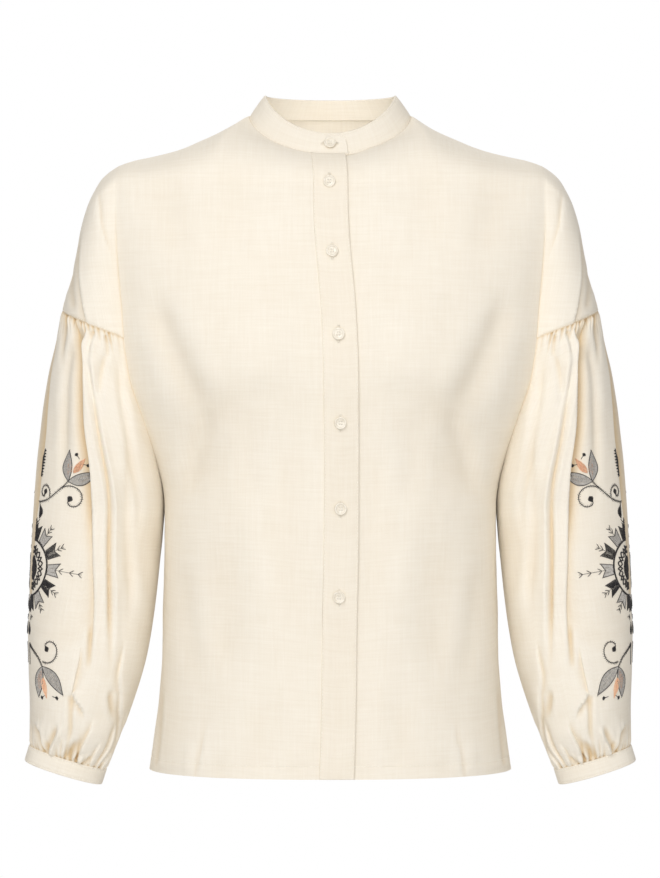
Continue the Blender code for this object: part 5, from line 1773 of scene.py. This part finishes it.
# ------------------------------------------------------------------ stage, light, camera
def make_stage():
    floor = bpy.data.meshes.new("floor")
    n = 96
    rings = [0.0, 0.6, 1.2, 2.2, 3.4, 4.6]
    V = [(0, 0, 0)]
    for r in rings[1:]:
        V += [(r * math.cos(2 * math.pi * k / n), r * math.sin(2 * math.pi * k / n), 0) for k in range(n)]
    F = [(0, 1 + k, 1 + (k + 1) % n) for k in range(n)]
    for i in range(len(rings) - 2):
        a = 1 + i * n
        F += [(a + k, a + n + k, a + n + (k + 1) % n, a + (k + 1) % n) for k in range(n)]
    floor.from_pydata(V, [], F)
    ob = bpy.data.objects.new("floor", floor)
    ob.location = (0, 0, -1.55)
    bpy.context.scene.collection.objects.link(ob)
    m = bpy.data.materials.new("floor")
    m.use_nodes = True
    nt = m.node_tree
    sh = nt.nodes["Principled BSDF"]
    tc = nt.nodes.new("ShaderNodeTexCoord")
    nz = node(nt, "ShaderNodeTexNoise", Scale=2.2, Detail=4.0)
    ramp = nt.nodes.new("ShaderNodeValToRGB")
    ramp.color_ramp.elements[0].color = (0.80, 0.80, 0.79, 1)
    ramp.color_ramp.elements[1].color = (0.88, 0.88, 0.875, 1)
    nt.links.new(tc.outputs["Object"], nz.inputs["Vector"])
    nt.links.new(nz.outputs["Fac"], ramp.inputs[0])
    nt.links.new(ramp.outputs[0], sh.inputs["Base Color"])
    sh.inputs["Roughness"].default_value = 0.9
    floor.materials.append(m)

    wall = bpy.data.meshes.new("backdrop")
    import bmesh
    bm = bmesh.new()
    bmesh.ops.create_uvsphere(bm, u_segments=48, v_segments=24, radius=30.0)
    bm.to_mesh(wall)
    bm.free()
    wo = bpy.data.objects.new("backdrop", wall)
    bpy.context.scene.collection.objects.link(wo)
    wm = bpy.data.materials.new("backdrop")
    wm.use_nodes = True
    t = wm.node_tree
    t.nodes.clear()
    o = t.nodes.new("ShaderNodeOutputMaterial")
    e = node(t, "ShaderNodeEmission", Strength=1.0)
    e.inputs["Color"].default_value = (1, 1, 1, 1)
    t.links.new(e.outputs[0], o.inputs["Surface"])
    wall.materials.append(wm)
    for flag in ("visible_diffuse", "visible_glossy", "visible_transmission", "visible_volume_scatter", "visible_shadow"):
        setattr(wo, flag, False)


def area_light(name, place, target, size, power, colour=(1, 1, 1)):
    data = bpy.data.lights.new(name, "AREA")
    data.shape = "RECTANGLE"
    data.size, data.size_y = size
    data.energy = power
    data.color = colour
    ob = bpy.data.objects.new(name, data)
    bpy.context.scene.collection.objects.link(ob)
    ob.location = place
    ob.rotation_mode = "QUATERNION"
    ob.rotation_quaternion = (Vector(target) - Vector(place)).to_track_quat("-Z", "Y")
    return ob


def make_light_and_camera():
    scene = bpy.context.scene
    scene.view_settings.view_transform = "Standard"
    scene.view_settings.look = "None"
    world = bpy.data.worlds.new("studio")
    world.use_nodes = True
    bg = world.node_tree.nodes["Background"]
    bg.inputs["Color"].default_value = (1.0, 0.985, 0.975, 1)
    bg.inputs["Strength"].default_value = 0.42
    scene.world = world
    area_light("key", (-0.85, -2.8, 1.35), (0, 0, -0.3), (1.4, 1.3), 37.5, (1.0, 0.99, 0.985))
    area_light("front", (0.5, -3.4, -0.25), (0, 0, -0.3), (1.7, 1.7), 29.0, (1.0, 0.99, 0.985))
    area_light("top", (0.0, -1.5, 2.4), (0, 0, -0.1), (2.2, 1.2), 8.5, (1.0, 0.99, 0.975))
    inside = area_light("inside", (0, -0.030, -0.105), (0, 0.062, 0.0), (0.10, 0.05), 0.085, (1.0, 0.98, 0.94))
    inside.visible_camera = False
    area_light("rim", (0.0, 2.8, 1.6), (0, 0, -0.3), (3.0, 2.0), 44.0, (1.0, 0.99, 0.97))
    data = bpy.data.cameras.new("camera")
    cam = bpy.data.objects.new("camera", data)
    scene.collection.objects.link(cam)
    data.sensor_width = 36.0
    data.lens = 129.5
    data.clip_start, data.clip_end = 0.1, 100.0
    cam.location = (-0.000285, -3.0, -0.3073)
    cam.rotation_euler = (math.pi / 2, 0, 0)
    scene.camera = cam


# ------------------------------------------------------------------ build
LINEN = linen_material()
make_stage()
make_light_and_camera()

front_right, lines_r = build_front(-1, over_start, "linen_front_right", LINEN)
front_left, lines_l = build_front(1, under_start, "linen_front_left", LINEN, under=True)
back, back_lines_l, back_lines_r = build_back(LINEN)
band, band_face, band_normal = build_band(LINEN)
collar, collar_face, collar_normal, collar_turns, collar_hs, collar_full = build_collar(LINEN)
sleeve_right, sleeve_info = build_sleeve(LINEN, -1, "linen_sleeve_right")
sleeve_left, _ = build_sleeve(LINEN, 1, "linen_sleeve_left")
cuff_right, cuff_face_r, cuff_normal_r, cuff_turns, cuff_hs = build_cuff(LINEN, -1, "linen_cuff_right")
cuff_left, cuff_face_l, cuff_normal_l, _, _ = build_cuff(LINEN, 1, "linen_cuff_left")

STANDS_FOR = [
    (front_right, "front_right"), (front_left, "front_left"), (back, "back"), (band, "button_band"),
    (collar, "collar"), (sleeve_right, "sleeve_right"), (sleeve_left, "sleeve_left"),
    (cuff_right, "cuff_right"), (cuff_left, "cuff_left"),
]
for ob, cad in STANDS_FOR:
    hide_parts(cad)

THREADS = {
    "black": thread_material("thread_black", (0.016, 0.015, 0.017), (0.060, 0.056, 0.056), 0.62, 0.35, 0.10),
    "grey": thread_material("thread_grey", (0.545, 0.520, 0.485), (0.800, 0.770, 0.725), 0.60, 0.35, 0.15),
    "peach": thread_material("thread_peach", (0.900, 0.480, 0.290), (0.990, 0.700, 0.480), 0.60, 0.35, 0.15),
}
SEWING = thread_material("sewing_thread", (0.900, 0.830, 0.700), (0.985, 0.950, 0.870), 0.75, 0.25, 0.10)
SHELL = shell_material()

for side, word in ((-1, "right"), (1, "left")):
    for ob in embroider(sleeve_info, side, "embroidery_" + word, THREADS):
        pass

# rows of stitching
runs = []
for lines in (lines_r, lines_l, back_lines_l, back_lines_r):
    runs.append((lines["hem"], lines["hem_out"]))
    runs.append((lines["seam"], lines["seam_out"], 2.8, 2.0))
for j in (int(np.argmin(np.abs(collar_hs * COLLAR_H - 2.0))), int(np.argmin(np.abs(collar_hs * COLLAR_H - (COLLAR_H - 2.0))))):
    runs.append((collar_face[2:-2, j], collar_normal[2:-2, j], 2.8, 2.0))
for face, normal in ((cuff_face_r, cuff_normal_r), (cuff_face_l, cuff_normal_l)):
    for edge in (1.8, CUFF_H - 1.8):
        j = int(np.argmin(np.abs(cuff_hs * CUFF_H - edge)))
        runs.append((face[5:-5, j], normal[5:-5, j], 2.6, 1.9))
band_across = band_face.shape[1]
for j in (4, band_across - 6):
    runs.append((band_face[3:-3, j], band_normal[3:-3, j], 2.9, 2.1))
stitches = sew("stitching", runs, SEWING)

# buttons and their holes
BUTTON_Z = [-69, -136, -211, -292.5, -371, -452]


def nearest(face, normal, target):
    d = ((face - np.asarray(target)) ** 2).sum(-1)
    k = np.unravel_index(np.nanargmin(d), d.shape)
    return face[k], unit(normal[k])


holes = []
spots = []
for k, z in enumerate(BUTTON_Z):
    zz = min(z, CAP_Z)
    x = float(-over_start(np.array(zz))) + BAND_W - 16.0
    place, out = nearest(band_face, band_normal, (x, -float(body("front", np.array(zz))), z))
    spots.append((k + 2, place, out, np.array([0.0, 0.0, 1.0])))
    along = np.array([0.0, 0.0, 1.0]) - out * out[2]
    holes.append(buttonhole(place, unit(along), out, 7.2, 1.1))
k = int(np.argmin(np.abs(collar_turns - 0.5)))
j = int(np.argmin(np.abs(collar_hs - 0.48)))
place, out = collar_face[k, j], unit(collar_normal[k, j])
spots.append((1, place, out, np.array([0.0, 0.0, 1.0])))
along = np.array([1.0, 0.0, 0.0]) - out * out[0]
holes.append(buttonhole(place, unit(along), out, 7.2, 1.1))
for number, place, out, up in spots:
    disc, thread = button_mesh(f"button_{number}", place + out * 0.35, out, up, SHELL, SEWING)
    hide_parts(f"button_{number}")
for word, face, normal in (("right", cuff_face_r, cuff_normal_r), ("left", cuff_face_l, cuff_normal_l)):
    k = int(np.argmin(np.abs(cuff_turns - (CUFF_TO - 16))))
    j = int(np.argmin(np.abs(cuff_hs - 0.5)))
    place, out = face[k, j], unit(normal[k, j])
    up = unit(face[k, -3] - face[k, 2])
    along = unit(np.cross(out, up))
    disc, thread = button_mesh(f"button_cuff_{word}", place + out * 0.35, out, -up, SHELL, SEWING)
    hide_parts(f"button_cuff_{word}")
    holes.append(buttonhole(place, along, out, 7.0, 1.1))
P, N, H = (np.concatenate([h[k] for h in holes]) for k in range(3))
sewn = tubes("buttonholes", P, N, np.full(len(P), 0.20), H, SEWING,
             tone=np.random.default_rng(3).uniform(0, 1, len(P)), sides=4)
